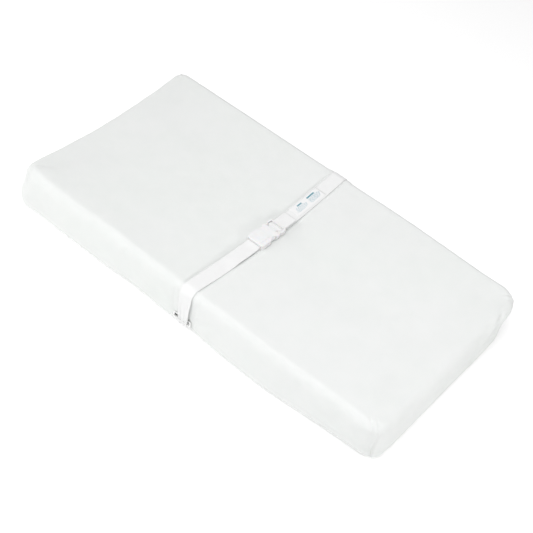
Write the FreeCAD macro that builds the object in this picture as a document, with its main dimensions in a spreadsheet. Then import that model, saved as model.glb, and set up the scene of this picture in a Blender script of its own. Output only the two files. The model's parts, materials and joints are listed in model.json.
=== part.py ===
import FreeCAD, Part
import math
import os

import Sketcher
from FreeCAD import Placement, Rotation, Vector

# Contoured changing pad with a fitted cover and a safety strap.
# X runs along the pad, Y across it and Z up. The origin is under the middle of the pad, on the
# surface it lies on. The near side is -Y, where the strap half with the buckle's socket starts.

SIZES = {
    # the pad, measured over its cover
    "pad_length": 813.0,
    "pad_width": 432.0,
    "centre_height": 75.0,
    "blank_height": 100.0,
    "valley_radius": 1180.0,
    "corner_radius": 34.0,
    "crest_radius": 14.0,
    "foot_radius": 15.0,
    # layers, as insets from the outside of the cover
    "cover_thickness": 1.5,
    "liner_inset": 3.5,
    "liner_thickness": 0.6,
    "foam_inset": 4.4,
    # underside
    "wrap_width": 55.0,
    "hem_margin": 2.0,
    "hem_width": 10.0,
    "channel_floor": 0.5,
    "channel_depth": 0.5,
    "elastic_clearance": 0.05,
    "base_margin": 22.0,
    "tape_width": 12.0,
    "tape_thickness": 0.3,
    # slits in the long sides
    "slit_level": 21.0,
    "slit_length": 34.0,
    "slit_opening": 8.0,
    "binding_width": 3.0,
    "binding_thickness": 0.8,
    # seams at the corners of the cover
    "seam_ridge": 0.7,
    "seam_width": 3.0,
    "seam_foot": 8.0,
    "seam_top": 68.0,
    # webbing
    "webbing_width": 28.0,
    "webbing_thickness": 1.4,
    "underside_gap": 0.2,
    "strap_gap": 1.2,
    "near_strap_height": 80.75,
    "far_strap_height": 77.3,
    "slit_bend_radius": 4.0,
    "anchor_end": 100.0,
    "layer_pitch": 1.45,
    "bar_slack": 0.15,
    "stack_start": 52.0,
    "stack_end": 80.0,
    "far_strap_end": 12.0,
    "loop_start": 22.0,
    "tail_dip": 82.4,
    "tail_end": 62.0,
    "tail_height": 83.0,
    # buckle, along the strap: the socket's mouth is at buckle_mouth
    "buckle_bottom": 77.2,
    "buckle_top": 86.4,
    "hood_top": 87.8,
    "hood_underside": 83.8,
    "hood_length": 28.0,
    "buckle_width": 37.0,
    "buckle_mouth": 9.0,
    "socket_length": 48.0,
    "socket_end_radius": 6.0,
    "socket_wall": 1.6,
    "cavity_bottom": 79.0,
    "cavity_top": 85.0,
    "cavity_length": 29.0,
    "scallop_radius": 10.0,
    "scallop_depth": 4.5,
    "scallop_centre": 6.0,
    "window_width": 29.6,
    "bar_length": 4.0,
    "bar_bottom": 78.6,
    "bar_top": 81.4,
    "slot_length": 5.0,
    "plug_width": 36.6,
    "waist_width": 31.6,
    "plug_start": 9.4,
    "waist_end": 14.0,
    "crossbar_end": 13.6,
    "outer_bar_start": 25.5,
    "plug_end": 29.0,
    "tongue_width": 9.0,
    "tongue_length": 23.4,
    "prong_bottom": 79.6,
    "prong_top": 84.6,
    "loop_bar_start": 17.0,
    "loop_bar_length": 3.5,
    "loop_bar_bottom": 81.15,
    "loop_bar_top": 83.5,
    "outer_bar_bottom": 83.6,
    "prong_pivot_across": 10.5,
    "prong_pivot_along": 10.4,
    "prong_root_radius": 2.0,
    "pivot_clearance": 0.5,
    # printed label on the far half of the strap
    "label_start": 76.0,
    "label_end": 152.0,
    "label_width": 25.0,
    "label_offset": -1.5,
    "label_thickness": 0.4,
    # thread
    "thread_width": 0.7,
    "thread_height": 0.15,
}

NEAR = -1
FAR = 1

doc = FreeCAD.newDocument("changing_pad")


def make_sheet():
    """Put every driving dimension in the spreadsheet, one alias a row."""
    sheet = doc.addObject("Spreadsheet::Sheet", "Sizes")
    for row, (name, value) in enumerate(SIZES.items(), start=1):
        sheet.set(f"A{row}", name)
        sheet.set(f"B{row}", str(value))
        sheet.setAlias(f"B{row}", name)
    doc.recompute()
    return sheet


sheet = make_sheet()


def size(name):
    """A driving dimension, as a number."""
    return float(sheet.get(name))


# ---- sketches and bodies ----------------------------------------------------------------------

def new_body(name):
    body = doc.addObject("PartDesign::Body", name)
    body.Label = name
    return body


def new_sketch(body, name, plane, height="0"):
    """A sketch on one of the body's own origin planes, lifted along the plane's normal."""
    sketch = body.newObject("Sketcher::SketchObject", name)
    support = next(f for f in body.Origin.OriginFeatures if f.Role == plane)
    sketch.AttachmentSupport = [(support, "")]
    sketch.MapMode = "FlatFace"
    sketch.setExpression("AttachmentOffset.Base.z", height)
    return sketch


def number(expression):
    """The value of an expression in the sheet's dimensions, for a sketch's first shape."""
    value = sheet.evalExpression(expression.replace("Sizes.", ""))
    return float(getattr(value, "Value", value))


def rounded_rectangle(sketch, length, width, radius, name):
    """A rectangle with round corners about the sketch's origin; its sizes are expressions."""
    x = number(length) / 2
    y = number(width) / 2
    r = number(radius)
    first = sketch.GeometryCount
    corners = [(x - r, r - y, -90), (x - r, y - r, 0), (r - x, y - r, 90), (r - x, r - y, 180)]
    sides = [
        ((r - x, -y), (x - r, -y)),
        ((x, r - y), (x, y - r)),
        ((x - r, y), (r - x, y)),
        ((-x, y - r), (-x, r - y)),
    ]
    for (start, end), (cx, cy, angle) in zip(sides, corners):
        sketch.addGeometry(Part.LineSegment(Vector(*start, 0), Vector(*end, 0)))
        circle = Part.Circle(Vector(cx, cy, 0), Vector(0, 0, 1), r)
        arc = Part.ArcOfCircle(circle, math.radians(angle), math.radians(angle + 90))
        sketch.addGeometry(arc)
    for i in range(8):
        here = first + i
        after = first + (i + 1) % 8
        sketch.addConstraint(Sketcher.Constraint("Tangent", here, 2, after, 1))
    for i in (3, 5, 7):
        sketch.addConstraint(Sketcher.Constraint("Equal", first + 1, first + i))
    for i, kind in ((0, "Horizontal"), (2, "Vertical"), (4, "Horizontal"), (6, "Vertical")):
        sketch.addConstraint(Sketcher.Constraint(kind, first + i))
    sketch.addConstraint(Sketcher.Constraint("Symmetric", first, 1, first + 4, 1, -1, 1))
    named = [
        ("length", Sketcher.Constraint("DistanceX", first + 6, 2, first + 2, 1, 2 * x), length),
        ("width", Sketcher.Constraint("DistanceY", first, 1, first + 4, 2, 2 * y), width),
        ("radius", Sketcher.Constraint("Radius", first + 1, r), radius),
    ]
    for suffix, constraint, expression in named:
        index = sketch.addConstraint(constraint)
        sketch.renameConstraint(index, f"{name}_{suffix}")
        sketch.setExpression(f"Constraints.{name}_{suffix}", expression)


def rectangle(sketch, low_x, high_x, low_y, high_y, name):
    """A rectangle between four expressions, each the place of one side."""
    x0, x1, y0, y1 = (number(e) for e in (low_x, high_x, low_y, high_y))
    first = sketch.GeometryCount
    corners = [(x0, y0), (x1, y0), (x1, y1), (x0, y1)]
    for i in range(4):
        a = Vector(*corners[i], 0)
        b = Vector(*corners[(i + 1) % 4], 0)
        sketch.addGeometry(Part.LineSegment(a, b))
    for i in range(4):
        here = first + i
        after = first + (i + 1) % 4
        sketch.addConstraint(Sketcher.Constraint("Coincident", here, 2, after, 1))
    for i, kind in ((0, "Horizontal"), (1, "Vertical"), (2, "Horizontal"), (3, "Vertical")):
        sketch.addConstraint(Sketcher.Constraint(kind, first + i))
    named = [
        ("left", "DistanceX", first, x0, low_x),
        ("right", "DistanceX", first + 1, x1, high_x),
        ("bottom", "DistanceY", first, y0, low_y),
        ("top", "DistanceY", first + 2, y1, high_y),
    ]
    for suffix, kind, line, value, expression in named:
        index = sketch.addConstraint(Sketcher.Constraint(kind, -1, 1, line, 1, value))
        sketch.renameConstraint(index, f"{name}_{suffix}")
        sketch.setExpression(f"Constraints.{name}_{suffix}", expression)


def polygon(sketch, points):
    """A closed outline through fixed corners, each held in place by two dimensions."""
    first = sketch.GeometryCount
    count = len(points)
    for i in range(count):
        a = Vector(*points[i], 0)
        b = Vector(*points[(i + 1) % count], 0)
        sketch.addGeometry(Part.LineSegment(a, b))
    for i in range(count):
        here = first + i
        after = first + (i + 1) % count
        sketch.addConstraint(Sketcher.Constraint("Coincident", here, 2, after, 1))
        sketch.addConstraint(Sketcher.Constraint("DistanceX", -1, 1, here, 1, points[i][0]))
        sketch.addConstraint(Sketcher.Constraint("DistanceY", -1, 1, here, 1, points[i][1]))


def pad_out(body, name, sketch, length, symmetric=False):
    pad = body.newObject("PartDesign::Pad", name)
    pad.Profile = sketch
    if symmetric:
        pad.SideType = "Symmetric"
    pad.setExpression("Length", length)
    doc.recompute()
    return pad


def pocket_in(body, name, sketch, length=None, reverse=False):
    """Cut a sketch into the body, through all of it both ways when no length is given."""
    before = body.Shape.Volume
    pocket = body.newObject("PartDesign::Pocket", name)
    pocket.Profile = sketch
    if length is None:
        pocket.SideType = "Symmetric"
        pocket.Type = "ThroughAll"
    else:
        pocket.Reversed = reverse
        pocket.setExpression("Length", length)
    doc.recompute()
    if not body.Shape.Volume < before - 1e-3:
        raise RuntimeError(f"{name} cuts nothing")
    return pocket


def round_edges(body, name, radius, wanted):
    """Fillet the edges of the body's last feature that the test picks."""
    base = body.Tip
    picked = [f"Edge{i}" for i, e in enumerate(base.Shape.Edges, start=1) if wanted(e)]
    fillet = body.newObject("PartDesign::Fillet", name)
    fillet.Base = (base, picked)
    fillet.setExpression("Radius", radius)
    doc.recompute()
    return fillet


# ---- pad, liner and cover ---------------------------------------------------------------------

def pad_form(name, inset):
    """The pad's outer form, smaller by an inset all round: a dished block with round edges."""
    body = new_body(name)
    plan = new_sketch(body, name + "_plan", "XY_Plane", inset)
    rounded_rectangle(
        plan,
        f"Sizes.pad_length - 2 * ({inset})",
        f"Sizes.pad_width - 2 * ({inset})",
        f"Sizes.corner_radius - ({inset})",
        "plan",
    )
    pad_out(body, name + "_block", plan, "Sizes.blank_height")
    dish = new_sketch(body, name + "_dish", "YZ_Plane")
    centre = size("centre_height") + size("valley_radius")
    dish.addGeometry(Part.Circle(Vector(0, centre, 0), Vector(0, 0, 1), size("valley_radius")))
    dish.addConstraint(Sketcher.Constraint("PointOnObject", 0, 3, -2))
    radius = dish.addConstraint(Sketcher.Constraint("Radius", 0, size("valley_radius")))
    dish.renameConstraint(radius, "dish_radius")
    dish.setExpression("Constraints.dish_radius", f"Sizes.valley_radius + ({inset})")
    height = dish.addConstraint(Sketcher.Constraint("DistanceY", -1, 1, 0, 3, centre))
    dish.renameConstraint(height, "dish_height")
    dish.setExpression("Constraints.dish_height", "Sizes.centre_height + Sizes.valley_radius")
    pocket_in(body, name + "_valley", dish)
    lowest_top = size("centre_height") - number(inset) - 1
    round_edges(
        body, name + "_crest", f"Sizes.crest_radius - ({inset})",
        lambda e: e.BoundBox.ZMin > lowest_top,
    )
    floor = number(inset)
    round_edges(
        body, name + "_foot", f"Sizes.foot_radius - ({inset})",
        lambda e: abs(e.BoundBox.ZMax - floor) < 1e-3,
    )
    return body


def plate(name, shrink, radius_shrink, low, thickness, hole_shrink=None):
    """A flat plate with the pad's plan, smaller by shrink on every side, or a ring of it."""
    body = new_body(name)
    plan = new_sketch(body, name + "_plan", "XY_Plane", low)
    outlines = [("outside", shrink)]
    if hole_shrink is not None:
        outlines.append(("inside", hole_shrink))
    for label, amount in outlines:
        rounded_rectangle(
            plan,
            f"Sizes.pad_length - 2 * ({amount})",
            f"Sizes.pad_width - 2 * ({amount})",
            radius_shrink,
            label,
        )
    pad_out(body, name + "_sheet", plan, thickness)
    return body


def box(name, length, width, height, x, y, z, turn=0.0):
    """A block whose sizes and lowest corner are expressions."""
    block = doc.addObject("Part::Box", name)
    block.setExpression("Length", length)
    block.setExpression("Width", width)
    block.setExpression("Height", height)
    block.Placement = Placement(Vector(), Rotation(Vector(0, 0, 1), turn))
    for axis, place in (("x", x), ("y", y), ("z", z)):
        block.setExpression(f"Placement.Base.{axis}", place)
    return block


def boolean(kind, name, base, tool):
    cut = doc.addObject(kind, name)
    cut.Label = name
    cut.Base = base
    cut.Tool = tool
    return cut


def union(name, shapes):
    fuse = doc.addObject("Part::MultiFuse", name)
    fuse.Label = name
    fuse.Shapes = shapes
    return fuse


def make_foam():
    return pad_form("foam_core", "Sizes.foam_inset")


def make_liner():
    """Wipe-clean shell, the flat base sheet that closes it, and the tape over their seam."""
    outside = pad_form("liner_outside", "Sizes.liner_inset")
    inside = pad_form("liner_inside", "Sizes.liner_inset + Sizes.liner_thickness")
    margin = "Sizes.liner_inset + Sizes.base_margin"
    corner = "Sizes.corner_radius - Sizes.foot_radius"
    opening = plate(
        "liner_opening", margin, corner, "Sizes.liner_inset", "Sizes.liner_thickness"
    )
    shell = boolean("Part::Cut", "liner_top", outside, union("liner_tools", [inside, opening]))
    base = plate("liner_base", margin, corner, "Sizes.liner_inset", "Sizes.liner_thickness")
    tape = plate(
        "liner_seam_tape",
        f"{margin} - Sizes.tape_width / 2",
        corner,
        "Sizes.liner_inset - Sizes.tape_thickness",
        "Sizes.tape_thickness",
        f"{margin} + Sizes.tape_width / 2",
    )
    return [shell, base, tape]


def slit_cutter(name, side):
    """The block that opens one slit through the cover's side."""
    depth = "3 * Sizes.cover_thickness"
    start = "Sizes.pad_width / 2 - 2 * Sizes.cover_thickness"
    if side == NEAR:
        start = "-Sizes.pad_width / 2 - Sizes.cover_thickness"
    return box(
        name, "Sizes.slit_length", depth, "Sizes.slit_opening",
        "-Sizes.slit_length / 2", start, "Sizes.slit_level - Sizes.slit_opening / 2",
    )


def make_cover():
    """Fitted cover: open underneath, with a channel in its hem and a slit in each long side."""
    outside = pad_form("cover_outside", "0 * Sizes.cover_thickness")
    inside = pad_form("cover_inside", "Sizes.cover_thickness")
    corner = "Sizes.corner_radius"
    opening = plate(
        "cover_opening", "Sizes.wrap_width", corner, "-Sizes.cover_thickness",
        "3 * Sizes.cover_thickness",
    )
    channel_inside = "Sizes.wrap_width - Sizes.hem_margin"
    channel = plate(
        "hem_channel", f"{channel_inside} - Sizes.hem_width", corner, "Sizes.channel_floor",
        "Sizes.channel_depth", channel_inside,
    )
    tools = [inside, opening, channel, slit_cutter("slit_near", NEAR), slit_cutter("slit_far", FAR)]
    cover = boolean("Part::Cut", "cover", outside, union("cover_tools", tools))
    slack = "Sizes.elastic_clearance"
    elastic = plate(
        "hem_elastic",
        f"{channel_inside} - Sizes.hem_width + {slack}",
        corner,
        f"Sizes.channel_floor + {slack}",
        f"Sizes.channel_depth - 2 * {slack}",
        f"{channel_inside} - {slack}",
    )
    return [cover, elastic, outside]


def make_corner_seams(cover_outside):
    """The ridge of the sewn dart at each corner of the cover."""
    raised = pad_form("seam_outside", "-Sizes.seam_ridge")
    ridge = boolean("Part::Cut", "seam_skin", raised, cover_outside)
    slabs = []
    reach = "Sizes.corner_radius * 2"
    for i, (sx, sy) in enumerate(((1, 1), (-1, 1), (-1, -1), (1, -1))):
        turn = math.degrees(math.atan2(sy, sx))
        across = Rotation(Vector(0, 0, 1), turn).multVec(Vector(0, 1, 0))
        corner = ("Sizes.pad_length / 2 - Sizes.corner_radius",
                  "Sizes.pad_width / 2 - Sizes.corner_radius")
        x = f"{sx} * ({corner[0]}) - {across.x:.6f} * Sizes.seam_width / 2"
        y = f"{sy} * ({corner[1]}) - {across.y:.6f} * Sizes.seam_width / 2"
        slabs.append(
            box(f"seam_slab_{i}", reach, "Sizes.seam_width",
                "Sizes.seam_top - Sizes.seam_foot", x, y, "Sizes.seam_foot", turn)
        )
    return boolean("Part::Common", "corner_seams", ridge, union("seam_slabs", slabs))


def make_slit_binding(name, side):
    """A sewn frame round one slit, on the outside of the cover."""
    body = new_body(name)
    frame = new_sketch(body, name + "_frame", "XZ_Plane", "Sizes.pad_width / 2")
    frame.setExpression("AttachmentOffset.Base.y", "Sizes.slit_level")
    for label, grow in (("hole", "0"), ("edge", "2 * Sizes.binding_width")):
        rounded_rectangle(
            frame,
            f"Sizes.slit_length + {grow}",
            f"Sizes.slit_opening + {grow}",
            f"Sizes.binding_width / 2 + {grow} / 4",
            label,
        )
    pad_out(body, name + "_stitching", frame, "Sizes.binding_thickness")
    if side == FAR:
        body.Placement = Placement(Vector(), Rotation(Vector(0, 0, 1), 180))
    return body


# ---- webbing ----------------------------------------------------------------------------------

def arc_points(centre, radius, start, end):
    """Start, middle and end of an arc; angles in degrees from +Y towards +Z."""
    places = []
    for angle in (start, (start + end) / 2, end):
        a = math.radians(angle)
        places.append((centre[0] + radius * math.cos(a), centre[1] + radius * math.sin(a)))
    return places


def band(name, pieces, thickness, width, side, offset=0.0):
    """A flat band: a route in the YZ plane, given half its thickness each way and its width."""
    edges = []
    for piece in pieces:
        places = [Vector(0, side * y, z) for y, z in piece]
        if len(places) == 2:
            edges.append(Part.LineSegment(*places).toShape())
        else:
            edges.append(Part.Arc(*places).toShape())
    route = Part.Wire(edges)
    first = edges[0]
    along = first.tangentAt(first.FirstParameter)
    start = first.valueAt(first.FirstParameter)
    across = Vector(1, 0, 0)
    up = along.cross(across) * (thickness / 2)
    left = Vector(offset - width / 2, 0, 0)
    right = Vector(offset + width / 2, 0, 0)
    corners = [start + left - up, start + right - up, start + right + up, start + left + up]
    section = Part.makePolygon(corners + corners[:1])
    solid = route.makePipeShell([section], True, False, 1)
    expected = thickness * width * route.Length
    if abs(solid.Volume - expected) > 0.02 * expected:
        raise RuntimeError(f"{name}: volume {solid.Volume:.0f}, expected {expected:.0f}")
    feature = doc.addObject("Part::Feature", name)
    feature.Label = name
    feature.Shape = solid
    feature.Placement = Placement()
    return feature


def crest_centre():
    """Centre of the crest's round, in Y and Z: it touches the side and the dish."""
    radius = size("crest_radius")
    y = size("pad_width") / 2 - radius
    reach = size("valley_radius") + radius
    z = size("centre_height") + size("valley_radius") - math.sqrt(reach ** 2 - y ** 2)
    return y, z


def span_radius(height):
    """Radius of the shallow arc a strap hangs in, from its height over the pad's middle."""
    y, z = crest_centre()
    round_radius = size("crest_radius") + size("strap_gap") + size("webbing_thickness") / 2
    rise = height - z
    return (y ** 2 + rise ** 2 - round_radius ** 2) / (2 * (round_radius - rise))


def span_height(height, y, lift=0.0):
    """Height of the strap's middle at a place across the pad, or of a layer above it."""
    radius = span_radius(height)
    return height + radius - math.sqrt((radius - lift) ** 2 - y ** 2)


def span_piece(height, start, end, lift=0.0):
    """The stretch of a strap's shallow arc between two places across the pad."""
    places = (start, (start + end) / 2, end)
    return [(y, span_height(height, y, lift)) for y in places]


def strap_route(height, inner_end, anchor_end):
    """Route of a strap half from its anchorage, round the foot and crest, to its inner end."""
    half = size("webbing_thickness") / 2
    foot = size("foot_radius")
    inset = size("cover_thickness") + size("underside_gap") + half
    foot_y = size("pad_width") / 2 - foot
    inner_y = foot_y + foot - inset
    outer_y = size("pad_width") / 2 + size("strap_gap") + half
    bend = size("slit_bend_radius")
    angle = math.degrees(math.acos(1 - (outer_y - inner_y) / (2 * bend)))
    climb = bend * math.sin(math.radians(angle))
    low = size("slit_level") - climb
    high = size("slit_level") + climb
    crest_y, crest_z = crest_centre()
    crest_round = size("crest_radius") + size("strap_gap") + half
    radius = span_radius(height)
    lean = math.degrees(math.atan2(crest_y, height + radius - crest_z))
    crest_arc = arc_points((crest_y, crest_z), crest_round, 0, 90 + lean)
    return [
        [(anchor_end, inset), (foot_y, inset)],
        arc_points((foot_y, foot), foot - inset, -90, 0),
        [(inner_y, foot), (inner_y, low)],
        arc_points((inner_y + bend, low), bend, 180, 180 - angle),
        arc_points((outer_y - bend, high), bend, -angle, 0),
        [(outer_y, high), (outer_y, crest_z)],
        crest_arc,
        span_piece(height, crest_arc[-1][0], inner_end),
    ]


def make_strap_near():
    """Near half: out of its slit, over the crest, round the socket's bar and back under itself."""
    height = size("near_strap_height")
    stack_start = size("stack_start")
    route = strap_route(height, stack_start, size("anchor_end"))
    bar_half = (size("bar_top") - size("bar_bottom")) / 2
    bar_z = size("bar_bottom") + bar_half
    bar_inner = size("socket_length") - size("buckle_mouth") - size("bar_length")
    turn = bar_half + size("bar_slack") + size("webbing_thickness") / 2
    centre = (bar_inner + bar_half, bar_z)
    past_bar = (bar_inner + size("bar_length") + 0.6, bar_z - turn)
    back = span_piece(height, stack_start - 2, size("stack_end"), -size("layer_pitch"))
    route += [
        [route[-1][-1], (centre[0], bar_z + turn)],
        arc_points(centre, turn, 90, 270),
        [(centre[0], bar_z - turn), past_bar],
        [past_bar, back[0]],
        back,
    ]
    return band("strap_near", route, size("webbing_thickness"), size("webbing_width"), NEAR)


def make_strap_far():
    """Far half: out of its slit, over the crest and through the plug, under both its bars."""
    route = strap_route(size("far_strap_height"), size("far_strap_end"), size("anchor_end"))
    return band("strap_far", route, size("webbing_thickness"), size("webbing_width"), FAR)


def make_strap_loop():
    """The far webbing's end: round the plug's loop bar, under its outer bar, then a free tail."""
    bar_half = (size("loop_bar_top") - size("loop_bar_bottom")) / 2
    bar_z = size("loop_bar_bottom") + bar_half
    bar_y = size("loop_bar_start") + bar_half
    turn = bar_half + size("bar_slack") + size("webbing_thickness") / 2
    over = (size("loop_bar_start") + size("loop_bar_length"), bar_z + turn)
    under = (size("outer_bar_start") - 0.3, size("tail_dip"))
    route = [
        [(size("loop_start"), bar_z - turn), (bar_y, bar_z - turn)],
        arc_points((bar_y, bar_z), turn, 270, 90),
        [(bar_y, bar_z + turn), over],
        [over, under],
        [under, (size("tail_end"), size("tail_height"))],
    ]
    return band("strap_loop", route, size("webbing_thickness"), size("webbing_width"), FAR)


def make_label():
    """The printed label, sewn flat on top of the far half."""
    lift = (size("webbing_thickness") + size("label_thickness")) / 2
    route = [span_piece(size("far_strap_height"), size("label_start"), size("label_end"), lift)]
    return band(
        "care_label", route, size("label_thickness"), size("label_width"), FAR,
        size("label_offset"),
    )


# ---- stitching --------------------------------------------------------------------------------

def thread(centre, length, angle=0.0, tilt=0.0):
    """One straight stitch, lying on a surface, turned about Z and tilted about X."""
    width = size("thread_width")
    height = size("thread_height")
    bar = Part.makeBox(length, width, height, Vector(-length / 2, -width / 2, 0))
    turn = Rotation(Vector(1, 0, 0), tilt).multiply(Rotation(Vector(0, 0, 1), angle))
    bar.Placement = Placement(Vector(*centre), turn)
    return bar


def stitch_group(name, threads):
    feature = doc.addObject("Part::Feature", name)
    feature.Label = name
    feature.Shape = Part.makeCompound(threads)
    feature.Placement = Placement()
    return feature


def make_box_stitch(name, side):
    """The sewn box and cross that hold one strap half to the liner's base, seen from below."""
    length = 28.0
    width = 22.0
    middle = side * (size("anchor_end") + 4 + length / 2)
    low = size("cover_thickness") + size("underside_gap") - size("thread_height")
    diagonal = math.hypot(width, length)
    lean = math.degrees(math.atan2(length, width))
    bars = [
        thread((0, middle - length / 2, low), width),
        thread((0, middle + length / 2, low), width),
        thread((-width / 2, middle, low), length, 90),
        thread((width / 2, middle, low), length, 90),
        thread((0, middle, low), diagonal, lean),
        thread((0, middle, low), diagonal, -lean),
    ]
    joined = bars[0].multiFuse(bars[1:]).removeSplitter()
    return stitch_group(name, joined.Solids)


def make_bartack():
    """Two dense rows of stitches that close the near half's loop on the socket's bar."""
    height = size("near_strap_height")
    lift = size("webbing_thickness") / 2
    stitches = []
    for y in (57.0, 75.0):
        slope = math.degrees(math.atan2(y, span_radius(height)))
        z = span_height(height, y, lift) + 0.01
        for i in range(8):
            x = -10.5 + 3 * i
            stitches.append(thread((x, -y, z), 2.4, 0, -slope))
    return stitch_group("bartack_near", stitches)


def make_label_stitches():
    """A row of stitches along each short end of the label."""
    height = size("far_strap_height")
    lift = size("webbing_thickness") / 2 + size("label_thickness")
    stitches = []
    for y in (size("label_start") + 2.5, size("label_end") - 2.5):
        slope = math.degrees(math.atan2(y, span_radius(height)))
        z = span_height(height, y, lift) + 0.01
        for i in range(7):
            x = size("label_offset") - 10.2 + 3.4 * i
            stitches.append(thread((x, y, z), 2.6, 0, slope))
    return stitch_group("label_stitches", stitches)


# ---- buckle -----------------------------------------------------------------------------------

def socket_y(distance):
    """Place along the strap of a point this far behind the socket's mouth."""
    return f"Sizes.buckle_mouth - ({distance})"


def make_socket():
    """Socket: a flat case open at its mouth, scalloped for the prongs, hooded over its strap bar."""
    body = new_body("buckle_socket")
    plan = new_sketch(body, "socket_plan", "XY_Plane", "Sizes.buckle_bottom")
    plan.setExpression("AttachmentOffset.Base.y", socket_y("Sizes.socket_length / 2"))
    rounded_rectangle(
        plan, "Sizes.buckle_width", "Sizes.socket_length", "Sizes.socket_end_radius", "plan"
    )
    pad_out(body, "socket_block", plan, "Sizes.hood_top - Sizes.buckle_bottom")
    square_off_mouth(body)
    round_edges(
        body, "socket_edges", "1.2",
        lambda e: e.BoundBox.ZLength < 1e-3
        and (e.BoundBox.YMax < size("buckle_mouth") - 0.1 or e.BoundBox.YLength > 1),
    )
    lower_front(body)
    round_edges(
        body, "socket_front_edges", "0.8",
        lambda e: e.BoundBox.ZLength < 1e-3 and e.BoundBox.YLength > 1
        and abs(e.BoundBox.ZMax - size("buckle_top")) < 1e-3,
    )
    scallop_sides(body)
    cavity = new_sketch(body, "socket_cavity_plan", "XY_Plane", "Sizes.cavity_bottom")
    inner = "Sizes.buckle_width / 2 - Sizes.socket_wall"
    rectangle(cavity, f"-({inner})", inner, socket_y("Sizes.cavity_length"),
              "Sizes.buckle_mouth + 1", "cavity")
    pocket_in(body, "socket_cavity", cavity, "Sizes.cavity_top - Sizes.cavity_bottom", True)
    cut_strap_bar(body)
    return body


def square_off_mouth(body):
    """Fill the round corners at the socket's mouth, which is square."""
    corners = new_sketch(body, "socket_mouth_plan", "XY_Plane", "Sizes.buckle_bottom")
    half = "Sizes.buckle_width / 2"
    rectangle(corners, f"-{half}", half, socket_y("Sizes.socket_end_radius + 1"),
              "Sizes.buckle_mouth", "mouth")
    pad_out(body, "socket_mouth", corners, "Sizes.hood_top - Sizes.buckle_bottom")


def lower_front(body):
    """Step the top down from the hood to the part that takes the prongs."""
    front = new_sketch(body, "socket_front_plan", "XY_Plane", "Sizes.buckle_top")
    half = "Sizes.buckle_width / 2 + 1"
    rectangle(front, f"-({half})", half, socket_y("Sizes.socket_length - Sizes.hood_length"),
              "Sizes.buckle_mouth + 1", "front")
    pocket_in(body, "socket_front", front, "Sizes.hood_top - Sizes.buckle_top + 1", True)


def scallop_sides(body):
    """Hollow both sides where finger and thumb press the prongs."""
    scallops = new_sketch(body, "socket_scallops", "XY_Plane", "Sizes.buckle_bottom")
    across = "Sizes.buckle_width / 2 + Sizes.scallop_radius - Sizes.scallop_depth"
    for i, sign in enumerate((-1, 1)):
        centre = Vector(sign * number(across), -size("scallop_centre"), 0)
        scallops.addGeometry(Part.Circle(centre, Vector(0, 0, 1), size("scallop_radius")))
        bind_circle(scallops, i, f"{sign} * ({across})", "-Sizes.scallop_centre",
                    "Sizes.scallop_radius", f"scallop_{i}")
    pocket_in(body, "socket_sides", scallops)


def cut_strap_bar(body):
    """Open the strap's passage under the hood and leave the bar that the webbing turns round."""
    half = "Sizes.window_width / 2"
    bar_inner = socket_y("Sizes.socket_length - Sizes.bar_length")
    end = socket_y("Sizes.socket_length + 1")
    slot = new_sketch(body, "socket_slot_plan", "XY_Plane", "Sizes.hood_underside")
    rectangle(slot, f"-{half}", half, bar_inner, f"{bar_inner} + Sizes.slot_length", "slot")
    pocket_in(body, "socket_slot", slot, "Sizes.hood_underside")
    above = new_sketch(body, "socket_bar_above", "XY_Plane", "Sizes.bar_top")
    rectangle(above, f"-{half}", half, end, f"{bar_inner} + 0.1", "bar")
    pocket_in(body, "socket_bar_top", above, "Sizes.hood_underside - Sizes.bar_top", True)
    below = new_sketch(body, "socket_bar_below", "XY_Plane", "Sizes.bar_bottom")
    rectangle(below, f"-{half}", half, end, f"{bar_inner} + 0.1", "bar")
    pocket_in(body, "socket_bar_foot", below, "Sizes.bar_bottom")
    bar_y = number(bar_inner)
    span = size("window_width")
    round_edges(
        body, "socket_bar_edge", "1.3",
        lambda e: abs(e.BoundBox.XLength - span) < 0.5 and e.BoundBox.YLength < 1e-3
        and e.BoundBox.ZLength < 1e-3 and abs(e.BoundBox.YMax - bar_y) < 0.2
        and size("bar_bottom") - 0.1 < e.BoundBox.ZMin < size("bar_top") + 0.1,
    )


def bind_circle(sketch, index, x, y, radius, name):
    """Tie a circle's centre and radius to expressions."""
    rows = [
        ("x", Sketcher.Constraint("DistanceX", -1, 1, index, 3, number(x)), x),
        ("y", Sketcher.Constraint("DistanceY", -1, 1, index, 3, number(y)), y),
        ("radius", Sketcher.Constraint("Radius", index, number(radius)), radius),
    ]
    for suffix, constraint, expression in rows:
        row = sketch.addConstraint(constraint)
        sketch.renameConstraint(row, f"{name}_{suffix}")
        sketch.setExpression(f"Constraints.{name}_{suffix}", expression)


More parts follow.
